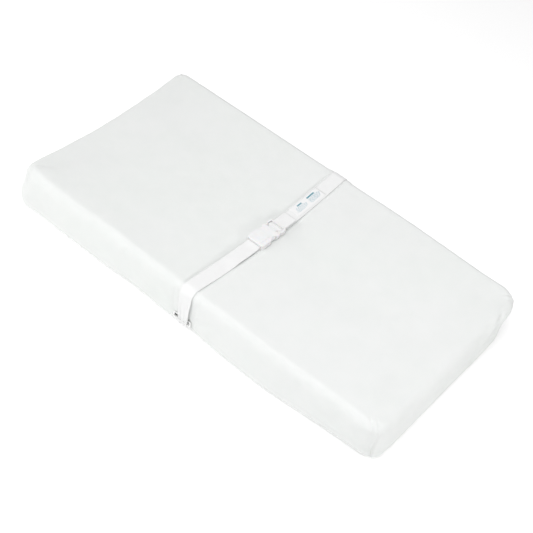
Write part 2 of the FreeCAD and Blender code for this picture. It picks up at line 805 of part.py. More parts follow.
def make_plug():
    """Plug: a ladder lock with two bars for the webbing, a cross bar and a guide tongue."""
    body = new_body("buckle_plug")
    waist = size("waist_width") / 2
    wide = size("plug_width") / 2
    start = size("plug_start")
    end = size("plug_end")
    flare = size("waist_end")
    outline = [
        (-waist, start), (waist, start), (waist, flare), (wide, flare + 2.5), (wide, end - 3),
        (wide - 3, end), (3 - wide, end), (-wide, end - 3), (-wide, flare + 2.5), (-waist, flare),
    ]
    plan = new_sketch(body, "plug_plan", "XY_Plane", "Sizes.buckle_bottom")
    polygon(plan, outline)
    height = "Sizes.buckle_top - Sizes.buckle_bottom"
    pad_out(body, "plug_block", plan, height)
    round_edges(body, "plug_edges", "1.2",
                lambda e: e.BoundBox.ZLength < 0.01 and e.BoundBox.YMax > start + 0.1)
    half = "Sizes.window_width / 2"
    window = new_sketch(body, "plug_window_plan", "XY_Plane", "Sizes.buckle_bottom")
    rectangle(window, f"-{half}", half, "Sizes.crossbar_end", "Sizes.outer_bar_start", "window")
    pocket_in(body, "plug_window", window)
    passage = new_sketch(body, "plug_passage_plan", "XY_Plane", "Sizes.prong_bottom")
    rectangle(passage, f"-{half}", half, "Sizes.plug_start - 1", "Sizes.plug_end + 1", "passage")
    pocket_in(body, "plug_passage", passage, "Sizes.prong_bottom", False)
    under = new_sketch(body, "plug_under_plan", "XY_Plane", "Sizes.outer_bar_bottom")
    rectangle(under, f"-{half}", half, "Sizes.outer_bar_start - 0.1", "Sizes.plug_end + 1", "under")
    pocket_in(body, "plug_under", under, "Sizes.outer_bar_bottom - Sizes.buckle_bottom + 1", False)
    bar = new_sketch(body, "loop_bar_plan", "XY_Plane", "Sizes.loop_bar_bottom")
    rectangle(bar, f"-{half} - 0.5", f"{half} + 0.5", "Sizes.loop_bar_start",
              "Sizes.loop_bar_start + Sizes.loop_bar_length", "bar")
    pad_out(body, "loop_bar", bar, "Sizes.loop_bar_top - Sizes.loop_bar_bottom")
    bar_y = size("loop_bar_start")
    round_edges(body, "loop_bar_edge", "1.1",
                lambda e: e.BoundBox.XLength > 20 and abs(e.BoundBox.YMax - bar_y) < 1e-3
                and e.BoundBox.YLength < 1e-3)
    tongue = new_sketch(body, "tongue_plan", "XY_Plane", "Sizes.prong_bottom")
    half_tongue = "Sizes.tongue_width / 2"
    rectangle(tongue, f"-{half_tongue}", half_tongue, "Sizes.plug_start - Sizes.tongue_length",
              "Sizes.plug_start + 1", "tongue")
    pad_out(body, "tongue", tongue, "Sizes.prong_top - Sizes.prong_bottom")
    seats = new_sketch(body, "prong_seats", "XY_Plane", "Sizes.buckle_bottom")
    for i, sign in enumerate((-1, 1)):
        centre = Vector(sign * size("prong_pivot_across"), size("prong_pivot_along"), 0)
        seats.addGeometry(Part.Circle(centre, Vector(0, 0, 1), size("prong_root_radius")))
        bind_circle(seats, i, f"{sign} * Sizes.prong_pivot_across", "Sizes.prong_pivot_along",
                    "Sizes.prong_root_radius + Sizes.pivot_clearance", f"seat_{i}")
    pocket_in(body, "prong_seat_cut", seats)
    return body


def make_prong(name, sign):
    """A sprung prong: a round root, a slim arm, and a head with a catch and a lead-in."""
    body = new_body(name)
    pivot_x = size("prong_pivot_across")
    pivot_y = size("prong_pivot_along")
    root = size("prong_root_radius")
    outline = [
        (pivot_x - root, pivot_y), (pivot_x + root, pivot_y), (pivot_x + root, 3.4),
        (16.4, 0.8), (16.4, -6.5), (14.6, -13.0), (12.6, -17.0), (10.6, -17.0), (10.0, -13.0),
        (9.6, -2.0),
    ]
    plan = new_sketch(body, name + "_plan", "XY_Plane", "Sizes.prong_bottom")
    polygon(plan, [(sign * x, y) for x, y in outline])
    thickness = "Sizes.prong_top - Sizes.prong_bottom"
    pad_out(body, name + "_arm", plan, thickness)
    knuckle = new_sketch(body, name + "_knuckle_plan", "XY_Plane", "Sizes.prong_bottom")
    centre = Vector(sign * pivot_x, pivot_y, 0)
    knuckle.addGeometry(Part.Circle(centre, Vector(0, 0, 1), root))
    bind_circle(knuckle, 0, f"{sign} * Sizes.prong_pivot_across", "Sizes.prong_pivot_along",
                "Sizes.prong_root_radius", "knuckle")
    pad_out(body, name + "_knuckle", knuckle, thickness)
    return body


# ---- build, check and write -------------------------------------------------------------------

def build():
    cover, elastic, cover_outside = make_cover()
    nodes = [make_foam(), *make_liner(), cover, elastic]
    nodes.append(make_corner_seams(cover_outside))
    nodes.append(make_slit_binding("slit_binding_near", NEAR))
    nodes.append(make_slit_binding("slit_binding_far", FAR))
    nodes += [make_strap_near(), make_strap_far(), make_strap_loop(), make_label()]
    nodes.append(make_box_stitch("box_stitch_near", NEAR))
    nodes.append(make_box_stitch("box_stitch_far", FAR))
    nodes += [make_bartack(), make_label_stitches(), make_socket(), make_plug()]
    nodes.append(make_prong("prong_left", -1))
    nodes.append(make_prong("prong_right", 1))
    return nodes


def check(nodes):
    """Stop on any failed object or unsound shape."""
    for item in doc.Objects:
        if "Invalid" in item.State or "Error" in item.State:
            raise RuntimeError(f"{item.Label}: {item.State}")
    for node in nodes:
        shape = node.Shape
        if shape.isNull() or not shape.isValid() or not shape.Solids:
            raise RuntimeError(f"{node.Label}: unsound shape")


nodes = build()
doc.recompute()
check(nodes)
os.makedirs("parts", exist_ok=True)
for node in nodes:
    node.Shape.exportStep(f"parts/{node.Label}.step")
    box_of = node.Shape.BoundBox
    print(f"{node.Label}: {len(node.Shape.Solids)} solids, {node.Shape.Volume:.0f} mm3, "
          f"x {box_of.XMin:.1f} {box_of.XMax:.1f} y {box_of.YMin:.1f} {box_of.YMax:.1f} "
          f"z {box_of.ZMin:.1f} {box_of.ZMax:.1f}")
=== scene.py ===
import bpy
import json
import math
import numpy as np
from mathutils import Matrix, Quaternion, Vector, noise

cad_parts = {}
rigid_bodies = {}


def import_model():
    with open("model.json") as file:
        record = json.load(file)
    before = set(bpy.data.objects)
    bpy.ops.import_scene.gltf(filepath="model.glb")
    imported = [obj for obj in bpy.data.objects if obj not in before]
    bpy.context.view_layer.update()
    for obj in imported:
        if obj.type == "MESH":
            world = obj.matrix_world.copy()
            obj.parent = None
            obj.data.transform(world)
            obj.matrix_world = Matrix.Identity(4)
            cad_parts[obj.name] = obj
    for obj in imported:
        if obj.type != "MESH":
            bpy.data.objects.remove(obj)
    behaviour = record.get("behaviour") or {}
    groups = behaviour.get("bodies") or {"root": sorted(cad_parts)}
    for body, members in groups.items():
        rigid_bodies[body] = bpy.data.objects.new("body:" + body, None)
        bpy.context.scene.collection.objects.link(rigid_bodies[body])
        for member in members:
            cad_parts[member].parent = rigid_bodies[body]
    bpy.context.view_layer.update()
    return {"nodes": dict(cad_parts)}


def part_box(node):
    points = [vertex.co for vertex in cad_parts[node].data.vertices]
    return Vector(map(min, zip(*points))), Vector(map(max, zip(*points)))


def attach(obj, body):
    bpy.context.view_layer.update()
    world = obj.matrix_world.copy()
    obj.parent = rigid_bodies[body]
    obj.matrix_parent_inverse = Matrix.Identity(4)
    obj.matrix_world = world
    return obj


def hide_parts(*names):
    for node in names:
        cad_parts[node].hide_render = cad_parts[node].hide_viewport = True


for thing in list(bpy.data.objects):
    bpy.data.objects.remove(thing)

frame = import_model()

# Metres throughout; MM turns the CAD source's millimetres into them.
MM = 0.001

# ---- driving dimensions, the same as the CAD source's ----

COVER_LOW, COVER_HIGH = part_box("cover")
HALF_X = COVER_HIGH.x
HALF_Y = COVER_HIGH.y
CENTRE_HEIGHT = 75 * MM
VALLEY_RADIUS = 1180 * MM
# near left, near right, far right and far left: the cloth fills some corners more than others
CORNER_RADII = (29 * MM, 34 * MM, 43 * MM, 24 * MM)
OPENING_RADIUS = 34 * MM
CREST_RADIUS = 14 * MM
FOOT_RADIUS = 15 * MM
COVER_THICKNESS = 1.3 * MM
WRAP_WIDTH = 55 * MM
SLIT_LEVEL = 21 * MM
SLIT_LENGTH = 34 * MM
SLIT_OPENING = 8 * MM
LINER_INSET = 3.5 * MM
LINER_THICKNESS = 0.6 * MM
FOAM_INSET = 4.4 * MM
BASE_MARGIN = 22 * MM

WEBBING_WIDTH = 28 * MM
WEBBING_THICKNESS = 1.4 * MM
STRAP_GAP = 1.2 * MM
NEAR_HEIGHT = 80.75 * MM
FAR_HEIGHT = 77.3 * MM
SLIT_BEND = 4 * MM
ANCHOR_END = 100 * MM
LAYER_PITCH = 1.45 * MM
STACK_START = 52 * MM
STACK_END = 80 * MM
FAR_END = 12 * MM

BAR_LOW = 78.6 * MM
BAR_HIGH = 81.4 * MM
BAR_INNER = 35 * MM
BAR_LENGTH = 4 * MM
BAR_SLACK = 0.15 * MM
LOOP_BAR_START = 17 * MM
LOOP_BAR_LENGTH = 3.5 * MM
LOOP_BAR_LOW = 81.15 * MM
LOOP_BAR_HIGH = 83.5 * MM
OUTER_BAR_START = 25.5 * MM
LOOP_START = 22 * MM
TAIL_DIP = 82.4 * MM
TAIL_END = 62 * MM
TAIL_HEIGHT = 83 * MM

LABEL_START = 76 * MM
LABEL_END = 152 * MM
LABEL_WIDTH = 25 * MM
LABEL_OFFSET = -1.5 * MM
LABEL_THICKNESS = 0.4 * MM

SIDE_ALONG = ((1, 0), (0, 1), (-1, 0), (0, -1))
SIDE_OUT = ((0, -1), (1, 0), (0, 1), (-1, 0))
BLEND_INSET = 70 * MM
CREST_TOP = COVER_HIGH.z


# ---- small helpers ----

def smooth_step(value, low, high):
    t = np.clip((np.asarray(value, float) - low) / (high - low), 0, 1)
    return t * t * (3 - 2 * t)


def step_mm(value, low, high):
    """A smooth step from 0 to 1 at places in metres, between limits in mm."""
    return smooth_step(value, low * MM, high * MM)


def bump_mm(value, centre, width):
    """1 at the centre, falling smoothly to 0 about two widths away; centre and width in mm."""
    return np.exp(-((np.asarray(value, float) - centre * MM) / (width * MM)) ** 2)


def noise_field(points, scale, seed):
    """Smooth noise of about -1 to 1 at each point, with features about scale metres across."""
    shift = Vector((seed * 7.31, seed * 3.17, seed * 5.77))
    values = [
        noise.fractal(Vector(p) / scale + shift, 1.0, 2.0, 2, noise_basis="PERLIN_ORIGINAL")
        for p in points
    ]
    return np.array(values)


def make_object(name, points, faces, uvs=None, smooth=True):
    mesh = bpy.data.meshes.new(name)
    mesh.from_pydata([tuple(p) for p in points], [], [tuple(int(i) for i in f) for f in faces])
    if uvs is not None:
        layer = mesh.uv_layers.new(name="weave")
        layer.data.foreach_set("uv", np.asarray(uvs, np.float32).ravel())
    mesh.polygons.foreach_set("use_smooth", [smooth] * len(mesh.polygons))
    mesh.update()
    obj = bpy.data.objects.new(name, mesh)
    bpy.context.scene.collection.objects.link(obj)
    return obj


def vectors_of(obj, name):
    """The coordinates ("co") or normals ("normal") of a mesh's points."""
    values = np.zeros(len(obj.data.vertices) * 3, np.float32)
    obj.data.vertices.foreach_get(name, values)
    return values.reshape(-1, 3).astype(float)


def move_points(obj, points):
    obj.data.vertices.foreach_set("co", points.astype(np.float32).ravel())
    obj.data.update()


def thicken(obj, thickness):
    """Give a sheet its thickness, inwards from the modelled face."""
    thick = obj.modifiers.new("thickness", "SOLIDIFY")
    thick.thickness = thickness
    thick.offset = -1.0


def skin_faces(rows, count):
    """Faces between rows of points that go round, each with the same count."""
    row, column = np.divmod(np.arange((rows - 1) * count), count)
    here = row * count
    following = (column + 1) % count
    return np.column_stack([
        here + column, here + following, here + count + following, here + count + column,
    ])


def capped(sections):
    """Points and faces of a skin over sections, closed at both ends."""
    count = len(sections[0])
    points = [point for section in sections for point in section]
    ends = [tuple(range(count))[::-1], tuple(range(len(points) - count, len(points)))]
    return points, list(skin_faces(len(sections), count)) + ends


def gathered(parts):
    """Points and faces of many small shapes, to be one mesh."""
    points = []
    faces = []
    for more, cells in parts:
        faces += [tuple(i + len(points) for i in cell) for cell in cells]
        points += more
    return points, faces


def lengths_along(points):
    """Length from the first point to each point of a line."""
    return np.concatenate([[0], np.cumsum(np.linalg.norm(np.diff(points, axis=0), axis=1))])


def place(obj, body, slot, material, *stands_for):
    """Give a piece its material and its body, and hide the CAD nodes that it stands for; slot is not
    used.
    """
    obj.data.materials.clear()
    obj.data.materials.append(material)
    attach(obj, body)
    if stands_for:
        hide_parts(*stands_for)
    return obj


# ---- materials ----

class Paint:
    """A Principled material and the few kinds of node that this scene adds to one."""

    def __init__(self, name, roughness, weave=False):
        """With weave, patterns that follow the cloth use its own coordinates."""
        self.material = bpy.data.materials.new(name)
        self.material.use_nodes = True
        self.tree = self.material.node_tree
        self.shader = self.tree.nodes["Principled BSDF"]
        self.shader.inputs["Roughness"].default_value = roughness
        self.object_where = self.node("ShaderNodeTexCoord").outputs["Object"]
        self.where = self.object_where
        if weave:
            self.where = self.node("ShaderNodeUVMap", uv_map="weave").outputs["UV"]

    def set(self, **values):
        for name, value in values.items():
            self.shader.inputs[name.replace("_", " ")].default_value = value

    def node(self, kind, inputs=(), **settings):
        made = self.tree.nodes.new(kind)
        for name, value in settings.items():
            setattr(made, name, value)
        for socket, value in dict(inputs).items():
            if isinstance(value, bpy.types.NodeSocket):
                self.tree.links.new(value, made.inputs[socket])
            else:
                made.inputs[socket].default_value = value
        return made

    def noise(self, scale, detail=3.0, rough=0.55):
        inputs = {"Vector": self.object_where, "Scale": scale, "Detail": detail,
                  "Roughness": rough}
        return self.node("ShaderNodeTexNoise", inputs).outputs["Fac"]

    def cells(self, scale):
        inputs = {"Vector": self.object_where, "Scale": scale}
        return self.node("ShaderNodeTexVoronoi", inputs).outputs["Distance"]

    def math(self, operation, first, second=0.0, third=0.0):
        inputs = {0: first, 1: second, 2: third}
        return self.node("ShaderNodeMath", inputs, operation=operation).outputs[0]

    def axis(self, name):
        return self.node("ShaderNodeSeparateXYZ", {"Vector": self.where}).outputs[name]

    def ripple(self, value, period, phase=0.0):
        """0 to 1 and back every period along a coordinate."""
        turns = self.math("MULTIPLY_ADD", value, 2 * math.pi / period, phase)
        return self.math("MULTIPLY_ADD", self.math("SINE", turns), 0.5, 0.5)

    def ramp(self, value, *stops):
        made = self.node("ShaderNodeValToRGB", {"Fac": value})
        ramp = made.color_ramp
        while len(ramp.elements) < len(stops):
            ramp.elements.new(0.5)
        for element, (position, colour) in zip(ramp.elements, stops):
            element.position = position
            element.color = (*colour, 1)
        return made.outputs["Color"]

    def mix(self, factor, first, second, blend="MIX"):
        first, second = (
            (*colour, 1) if isinstance(colour, tuple) else colour for colour in (first, second)
        )
        inputs = {0: factor, 6: first, 7: second}
        return self.node("ShaderNodeMix", inputs, data_type="RGBA", blend_type=blend).outputs[2]

    def finish(self, colour, rough, *relief):
        """Wire the shader: colour, rough (value, low, high) and relief layers (height, depth in mm)."""
        self.tree.links.new(colour, self.shader.inputs["Base Color"])
        if rough:
            value, low, high = rough
            spread_out = self.node(
                "ShaderNodeMapRange", {"Value": value, "To Min": low, "To Max": high}
            )
            self.tree.links.new(spread_out.outputs["Result"], self.shader.inputs["Roughness"])
        last = None
        for height, depth in relief:
            inputs = {"Height": height, "Distance": depth * MM, "Strength": 1.0}
            if last is not None:
                inputs["Normal"] = last
            last = self.node("ShaderNodeBump", inputs).outputs["Normal"]
        self.tree.links.new(last, self.shader.inputs["Normal"])
        return self.material


def cover_material():
    """Brushed cotton jersey: fine ribs of knit under a soft nap, in a slightly cool off-white."""
    p = Paint("cover_jersey", 0.9, weave=True)
    p.set(Specular_IOR_Level=0.25, Sheen_Weight=0.12, Sheen_Roughness=0.5)
    u = p.axis("X")
    v = p.axis("Y")
    wander = p.noise(260.0, 2.0)
    wale = p.ripple(p.math("MULTIPLY_ADD", wander, 0.0012, u), 1.15 * MM)
    course = p.ripple(p.math("MULTIPLY_ADD", wander, 0.0009, v), 0.9 * MM)
    knit = p.math("MULTIPLY", wale, p.math("MULTIPLY_ADD", course, 0.45, 0.55))
    nap = p.noise(1500.0, 3.0, 0.7)
    pill = p.noise(420.0, 2.0, 0.5)
    mottle = p.noise(34.0, 4.0, 0.6)
    cloud = p.noise(5.5, 2.0, 0.5)
    base = p.ramp(mottle, (0.28, (0.803, 0.820, 0.806)), (0.72, (0.824, 0.836, 0.824)))
    tint = p.ramp(cloud, (0.35, (0.992, 1.0, 0.994)), (0.65, (1.0, 0.999, 1.002)))
    shaded = p.mix(1.0, base, tint, "MULTIPLY")
    # painted shade: the cloth is coloured darker in the knit's valleys, following the same pattern as
    # the knit's relief
    knit_shade = p.ramp(knit, (0.0, (0.955, 0.955, 0.955)), (0.6, (1.0, 1.0, 1.0)))
    cloth = p.mix(0.7, shaded, p.mix(1.0, shaded, knit_shade, "MULTIPLY"))
    return p.finish(cloth, (nap, 0.82, 0.98), (knit, 0.22), (nap, 0.18), (pill, 0.2))


def webbing_material():
    """Flat woven webbing: rows of fat weft ribs crossed by warp yarns, with close selvages."""
    base = (0.84, 0.846, 0.84)
    p = Paint("strap_webbing", 0.55, weave=True)
    p.set(Specular_IOR_Level=0.3, Sheen_Weight=0.05, Sheen_Roughness=0.4)
    u = p.axis("X")
    v = p.axis("Y")
    warp = p.ripple(u, 1.0 * MM)
    step = p.math("MULTIPLY", p.math("ROUND", p.math("DIVIDE", u, 1.0 * MM)), math.pi)
    turns = p.math("MULTIPLY_ADD", v, 2 * math.pi / (1.5 * MM), step)
    weft = p.math("MULTIPLY_ADD", p.math("SINE", turns), 0.5, 0.5)
    weave = p.math("MULTIPLY", warp, p.math("MULTIPLY_ADD", weft, 0.6, 0.4))
    fibre = p.noise(1800.0, 2.0, 0.6)
    mottle = p.noise(60.0, 3.0, 0.5)
    # painted shade: the webbing is coloured darker in the weave's valleys, following the same pattern
    # as its relief; the wear mottle on top is random tone
    weave_shade = tuple(0.955 * c for c in base)
    tone = p.ramp(weave, (0.0, weave_shade), (0.7, base))
    wear = p.ramp(mottle, (0.3, (0.975, 0.97, 0.975)), (0.7, (1.0, 1.0, 1.0)))
    worn_and_weave_shade = p.mix(1.0, tone, wear, "MULTIPLY")
    return p.finish(worn_and_weave_shade, (fibre, 0.45, 0.7), (weave, 0.13), (fibre, 0.04))


def label_material():
    """White satin ribbon printed with two blocks of plain bars."""
    p = Paint("printed_label", 0.5, weave=True)
    p.set(Specular_IOR_Level=0.45)
    u = p.axis("X")
    v = p.axis("Y")

    def inside(value, low, high):
        above = p.math("GREATER_THAN", value, low)
        below = p.math("LESS_THAN", value, high)
        return p.math("MULTIPLY", above, below)

    def bars(rows, half_width):
        """Printed dashes: each row is (place across, from, to, dash length, share inked, shift)."""
        total = None
        for middle, start, end, length, share, shift in rows:
            across = inside(u, (middle - half_width) * MM, (middle + half_width) * MM)
            mark = p.math("MULTIPLY", across, inside(v, start * MM, end * MM))
            turn = p.math("FRACT", p.math("MULTIPLY_ADD", v, 1 / (length * MM), shift))
            mark = p.math("MULTIPLY", mark, p.math("LESS_THAN", turn, share))
            total = mark if total is None else p.math("MAXIMUM", total, mark)
        return total

    titles = bars([(-8.0, 92.0, 104.5, 3.1, 0.86, 0.2)], 1.4)
    titles = p.math("MAXIMUM", titles, bars([(-8.0, 119.5, 140.0, 3.4, 0.88, 0.5)], 1.6))
    lines = bars((
        (-4.75, 84.0, 107.5, 4.3, 0.66, 0.1), (-2.55, 84.0, 112.0, 5.1, 0.66, 0.6),
        (-0.35, 83.0, 110.5, 3.9, 0.66, 0.3), (1.85, 82.0, 111.0, 4.7, 0.66, 0.8),
        (4.05, 82.0, 106.0, 4.1, 0.66, 0.45), (-4.45, 119.0, 146.0, 5.3, 0.7, 0.15),
        (-2.55, 118.5, 149.0, 4.5, 0.66, 0.55), (-0.65, 118.5, 149.0, 6.1, 0.66, 0.35),
        (1.25, 118.5, 148.0, 4.9, 0.66, 0.75), (3.15, 119.0, 147.0, 5.7, 0.66, 0.05),
        (5.05, 119.5, 143.0, 4.3, 0.66, 0.9),
    ), 0.38)
    speckle = p.noise(900.0, 2.0)
    satin = p.ripple(u, 0.35 * MM)
    cloth = p.ramp(speckle, (0.3, (0.8, 0.802, 0.802)), (0.7, (0.84, 0.842, 0.842)))
    ink = p.math("MULTIPLY", lines, p.math("MULTIPLY_ADD", speckle, 0.5, 0.55))
    printed = p.mix(titles, p.mix(ink, cloth, (0.05, 0.27, 0.36)), (0.03, 0.24, 0.31))
    return p.finish(printed, (speckle, 0.42, 0.6), (satin, 0.03), (speckle, 0.04))


def buckle_material():
    """Injection-moulded nylon: satin, faintly grained and very slightly uneven in tone."""
    p = Paint("buckle_nylon", 0.38)
    p.set(Specular_IOR_Level=0.5, Subsurface_Weight=0.08, Subsurface_Scale=0.003)
    grain = p.noise(2600.0, 2.0, 0.6)
    flow = p.noise(120.0, 3.0, 0.6)
    tone = p.ramp(flow, (0.3, (0.78, 0.777, 0.779)), (0.7, (0.815, 0.812, 0.814)))
    return p.finish(tone, (grain, 0.3, 0.5), (grain, 0.035), (flow, 0.12))


def thread_material():
    """Twisted polyester thread."""
    p = Paint("sewing_thread", 0.6)
    wave = {"Vector": p.object_where, "Scale": 700.0, "Distortion": 1.5}
    twist = p.node("ShaderNodeTexWave", wave, bands_direction="DIAGONAL").outputs["Fac"]
    # painted shade: the thread is coloured darker in the grooves of its twist, following the same
    # pattern as its relief
    tone = p.ramp(twist, (0.2, (0.792, 0.792, 0.7875)), (0.8, (0.88, 0.88, 0.875)))
    fuzz = p.noise(2200.0, 2.0)
    return p.finish(tone, (fuzz, 0.5, 0.75), (twist, 0.12), (fuzz, 0.05))


def vinyl_material():
    """Wipe-clean embossed vinyl of the liner."""
    p = Paint("liner_vinyl", 0.4)
    grain = p.cells(620.0)
    cloud = p.noise(18.0, 3.0)
    tone = p.ramp(cloud, (0.3, (0.82, 0.83, 0.835)), (0.7, (0.86, 0.865, 0.865)))
    return p.finish(tone, (grain, 0.3, 0.52), (grain, 0.1), (cloud, 0.4))


def base_material():
    """Non-slip backing: soft rubber with small raised dots in staggered rows."""
    p = Paint("base_rubber", 0.8)
    p.set(Specular_IOR_Level=0.3)
    x = p.axis("X")
    y = p.axis("Y")
    pitch = 7 * MM
    rows = p.math("MULTIPLY", p.ripple(x, pitch), p.ripple(y, pitch))
    half = math.pi
    other = p.math("MULTIPLY", p.ripple(x, pitch, half), p.ripple(y, pitch, half))
    dots = p.math("SMOOTH_MAX", rows, other, 0.05)
    raised = p.node(
        "ShaderNodeMapRange",
        {"Value": dots, "From Min": 0.66, "From Max": 0.84},
        interpolation_type="SMOOTHSTEP",
    ).outputs["Result"]
    felt = p.noise(1100.0, 3.0, 0.65)
    cloth = p.ramp(felt, (0.3, (0.66, 0.67, 0.68)), (0.7, (0.74, 0.75, 0.755)))
    tone = p.mix(raised, cloth, (0.83, 0.84, 0.845))
    return p.finish(tone, (raised, 0.9, 0.5), (felt, 0.15), (raised, 0.5))


def elastic_material():
    """Braided elastic: ribs across its length."""
    p = Paint("braided_elastic", 0.7)
    braid = p.cells(900.0)
    fuzz = p.noise(1500.0, 2.0)
    # painted shade: the elastic is coloured darker in the pits of its braid, following the same pattern
    # as its relief
    tone = p.ramp(braid, (0.0, (0.78, 0.78, 0.775)), (0.5, (0.88, 0.88, 0.875)))
    return p.finish(tone, (fuzz, 0.6, 0.85), (braid, 0.2), (fuzz, 0.05))


def foam_material():
    """Open-cell foam."""
    p = Paint("foam_cells", 0.95)
    cells = p.cells(800.0)
    cloud = p.noise(25.0, 3.0)
    # painted shade: the foam is coloured darker in its open cells, following the same pattern as its
    # relief; the yellowing is the foam's own colour
    tone = p.ramp(cells, (0.0, (0.62, 0.6, 0.5)), (0.45, (0.86, 0.84, 0.74)))
    aged = p.ramp(cloud, (0.3, (0.8, 0.77, 0.64)), (0.7, (0.88, 0.86, 0.78)))
    return p.finish(p.mix(0.25, tone, aged), (cells, 0.98, 0.85), (cells, 0.5), (cloud, 0.5))


def floor_material():
    p = Paint("studio_floor", 0.85)
    p.set(Specular_IOR_Level=0.1, Emission_Color=(1, 1, 1, 1), Emission_Strength=0.22)
    grain = p.noise(90.0, 3.0)
    tone = p.ramp(grain, (0.3, (0.925, 0.925, 0.925)), (0.7, (0.935, 0.935, 0.935)))
    return p.finish(tone, None, (grain, 0.1))


# ---- the pad's form: rings of a rounded rectangle, from under the foot to the top ----

def dish_height(y):
    return CENTRE_HEIGHT + VALLEY_RADIUS - np.sqrt(VALLEY_RADIUS ** 2 - np.asarray(y) ** 2)


def spread(stops, counts, fineness):
    """Places from the first stop to the last, evenly spaced between one stop and the next."""
    places = [stops[0]]
    for start, end, count in zip(stops, stops[1:], counts):
        count = max(2, round(count * fineness))
        places += list(np.linspace(start, end, count + 1)[1:])
    return np.array(places)


def side_length(k, radii, inset=0.0):
    """Length of side k, from the middle of one corner to the middle of the next."""
    reach = (HALF_X if k % 2 == 0 else HALF_Y) - inset
    after = radii[(k + 1) % 4]
    return 2 * reach - radii[k] - after + math.pi / 4 * (radii[k] + after)


def side_fractions(fineness=1.0):
    """Where the lines of the mesh leave each side, as shares of it: closer at corners and slits."""
    long = side_length(0, (OPENING_RADIUS,) * 4)
    short = side_length(1, (OPENING_RADIUS,) * 4)
    dart = 20 * MM
    corner = 66 * MM
    middle = long / 2
    slit = SLIT_LENGTH / 2
    near_slit = 30 * MM
    on_long = spread(
        (0, dart, corner, middle - near_slit, middle - slit, middle + slit, middle + near_slit,
         long - corner, long - dart, long),
        (13, 15, 50, 12, 18, 12, 50, 15, 13), fineness,
    )
    on_short = spread(
        (0, dart, corner, short - corner, short - dart, short), (13, 15, 52, 15, 13), fineness
    )
    return (on_long / long, on_short / short)


def ring(inset, radii, fractions):
    """Points round a rounded rectangle, their outward directions and places from each corner."""
    places = []
    outward = []
    from_corner = []
    for k in range(4):
        along = np.array(SIDE_ALONG[k], float)
        out = np.array(SIDE_OUT[k], float)
        reach, depth = (HALF_X, HALF_Y) if k % 2 == 0 else (HALF_Y, HALF_X)
        reach -= inset
        depth -= inset
        before, after = radii[k], radii[(k + 1) % 4]
        total = side_length(k, radii, inset)
        for share in fractions[k % 2][:-1]:
            at = share * total
            if at < math.pi / 4 * before:
                turn = -math.pi / 4 + at / before
                a = before - reach + before * math.sin(turn)
                o = depth - before * (1 - math.cos(turn))
            elif total - at < math.pi / 4 * after:
                turn = math.pi / 4 - (total - at) / after
                a = reach - after + after * math.sin(turn)
                o = depth - after * (1 - math.cos(turn))
            else:
                turn = 0.0
                a, o = before - reach + (at - math.pi / 4 * before), depth
            places.append(along * a + out * o)
            outward.append(along * math.sin(turn) + out * math.cos(turn))
            from_corner.append(at if share < 0.5 else at - total)
    return np.array(places), np.array(outward), np.array(from_corner)


def crest_base(places, outward, inset):
    """Height of the crest round's centre at each point, and how far the round reaches inwards."""
    centre = places - outward * (CREST_RADIUS - inset)[:, None]
    slope = centre[:, 1] / np.sqrt(VALLEY_RADIUS ** 2 - centre[:, 1] ** 2) * outward[:, 1]
    low = dish_height(centre[:, 1]) - CREST_RADIUS * np.sqrt(1 + slope ** 2)
    reach = CREST_RADIUS * (1 + slope / np.sqrt(1 + slope ** 2))
    return low, reach


def top_heights(places, outward, inset):
    """Height of the pad's top at points an inset from its outline."""
    inset = np.full(len(places), float(inset))
    low, reach = crest_base(places, outward, inset)
    rise = np.sqrt(np.maximum(CREST_RADIUS ** 2 - (CREST_RADIUS - inset) ** 2, 0))
    return np.where(inset < reach, low + rise, dish_height(places[:, 1]))


def form_rows(fractions, wrap):
    """Rows of points from the underside's opening, round the foot and crest, to the blend inset."""
    rows = []

    def add(inset, radii, height=None):
        places, outward, corner = ring(inset, radii, fractions)
        if height is None:
            height = top_heights(places, outward, inset)
        rows.append((places, np.broadcast_to(height, len(places)), outward, inset, corner))

    def less(inset):
        return [radius - inset for radius in CORNER_RADII]

    for inset in np.linspace(wrap, FOOT_RADIUS, 14)[:-1]:
        share = (inset - FOOT_RADIUS) / (WRAP_WIDTH - FOOT_RADIUS)
        add(inset, [r + share * (OPENING_RADIUS - r) for r in less(FOOT_RADIUS)], 0.0)
    for angle in np.linspace(90, 0, 8)[:-1]:
        turn = math.radians(angle)
        inset = FOOT_RADIUS * (1 - math.cos(turn))
        add(inset, less(inset), FOOT_RADIUS * (1 - math.sin(turn)))
    places, outward, corner = ring(0.0, CORNER_RADII, fractions)
    wall_top = top_heights(places, outward, 0.0)
    slit_low = SLIT_LEVEL - SLIT_OPENING / 2
    slit_high = SLIT_LEVEL + SLIT_OPENING / 2
    for height in (FOOT_RADIUS, *np.linspace(slit_low, slit_high, 4)):
        add(0.0, CORNER_RADII, height)
    for share in np.linspace(0, 1, 13)[1:]:
        add(0.0, CORNER_RADII, slit_high + share * (wall_top - slit_high))
    for angle in np.linspace(0, 90, 9)[1:]:
        inset = CREST_RADIUS * (1 - math.cos(math.radians(angle)))
        add(inset, less(inset))
    for inset in (15.6, 17.5, 20, 23, 27, 31.5, 36.5, 42, 48, 54, 59.5, 65, BLEND_INSET / MM):
        inset = inset * MM
        share = (BLEND_INSET - inset) / (BLEND_INSET - CREST_RADIUS)
        add(inset, [share * r for r in less(CREST_RADIUS)])
    return rows


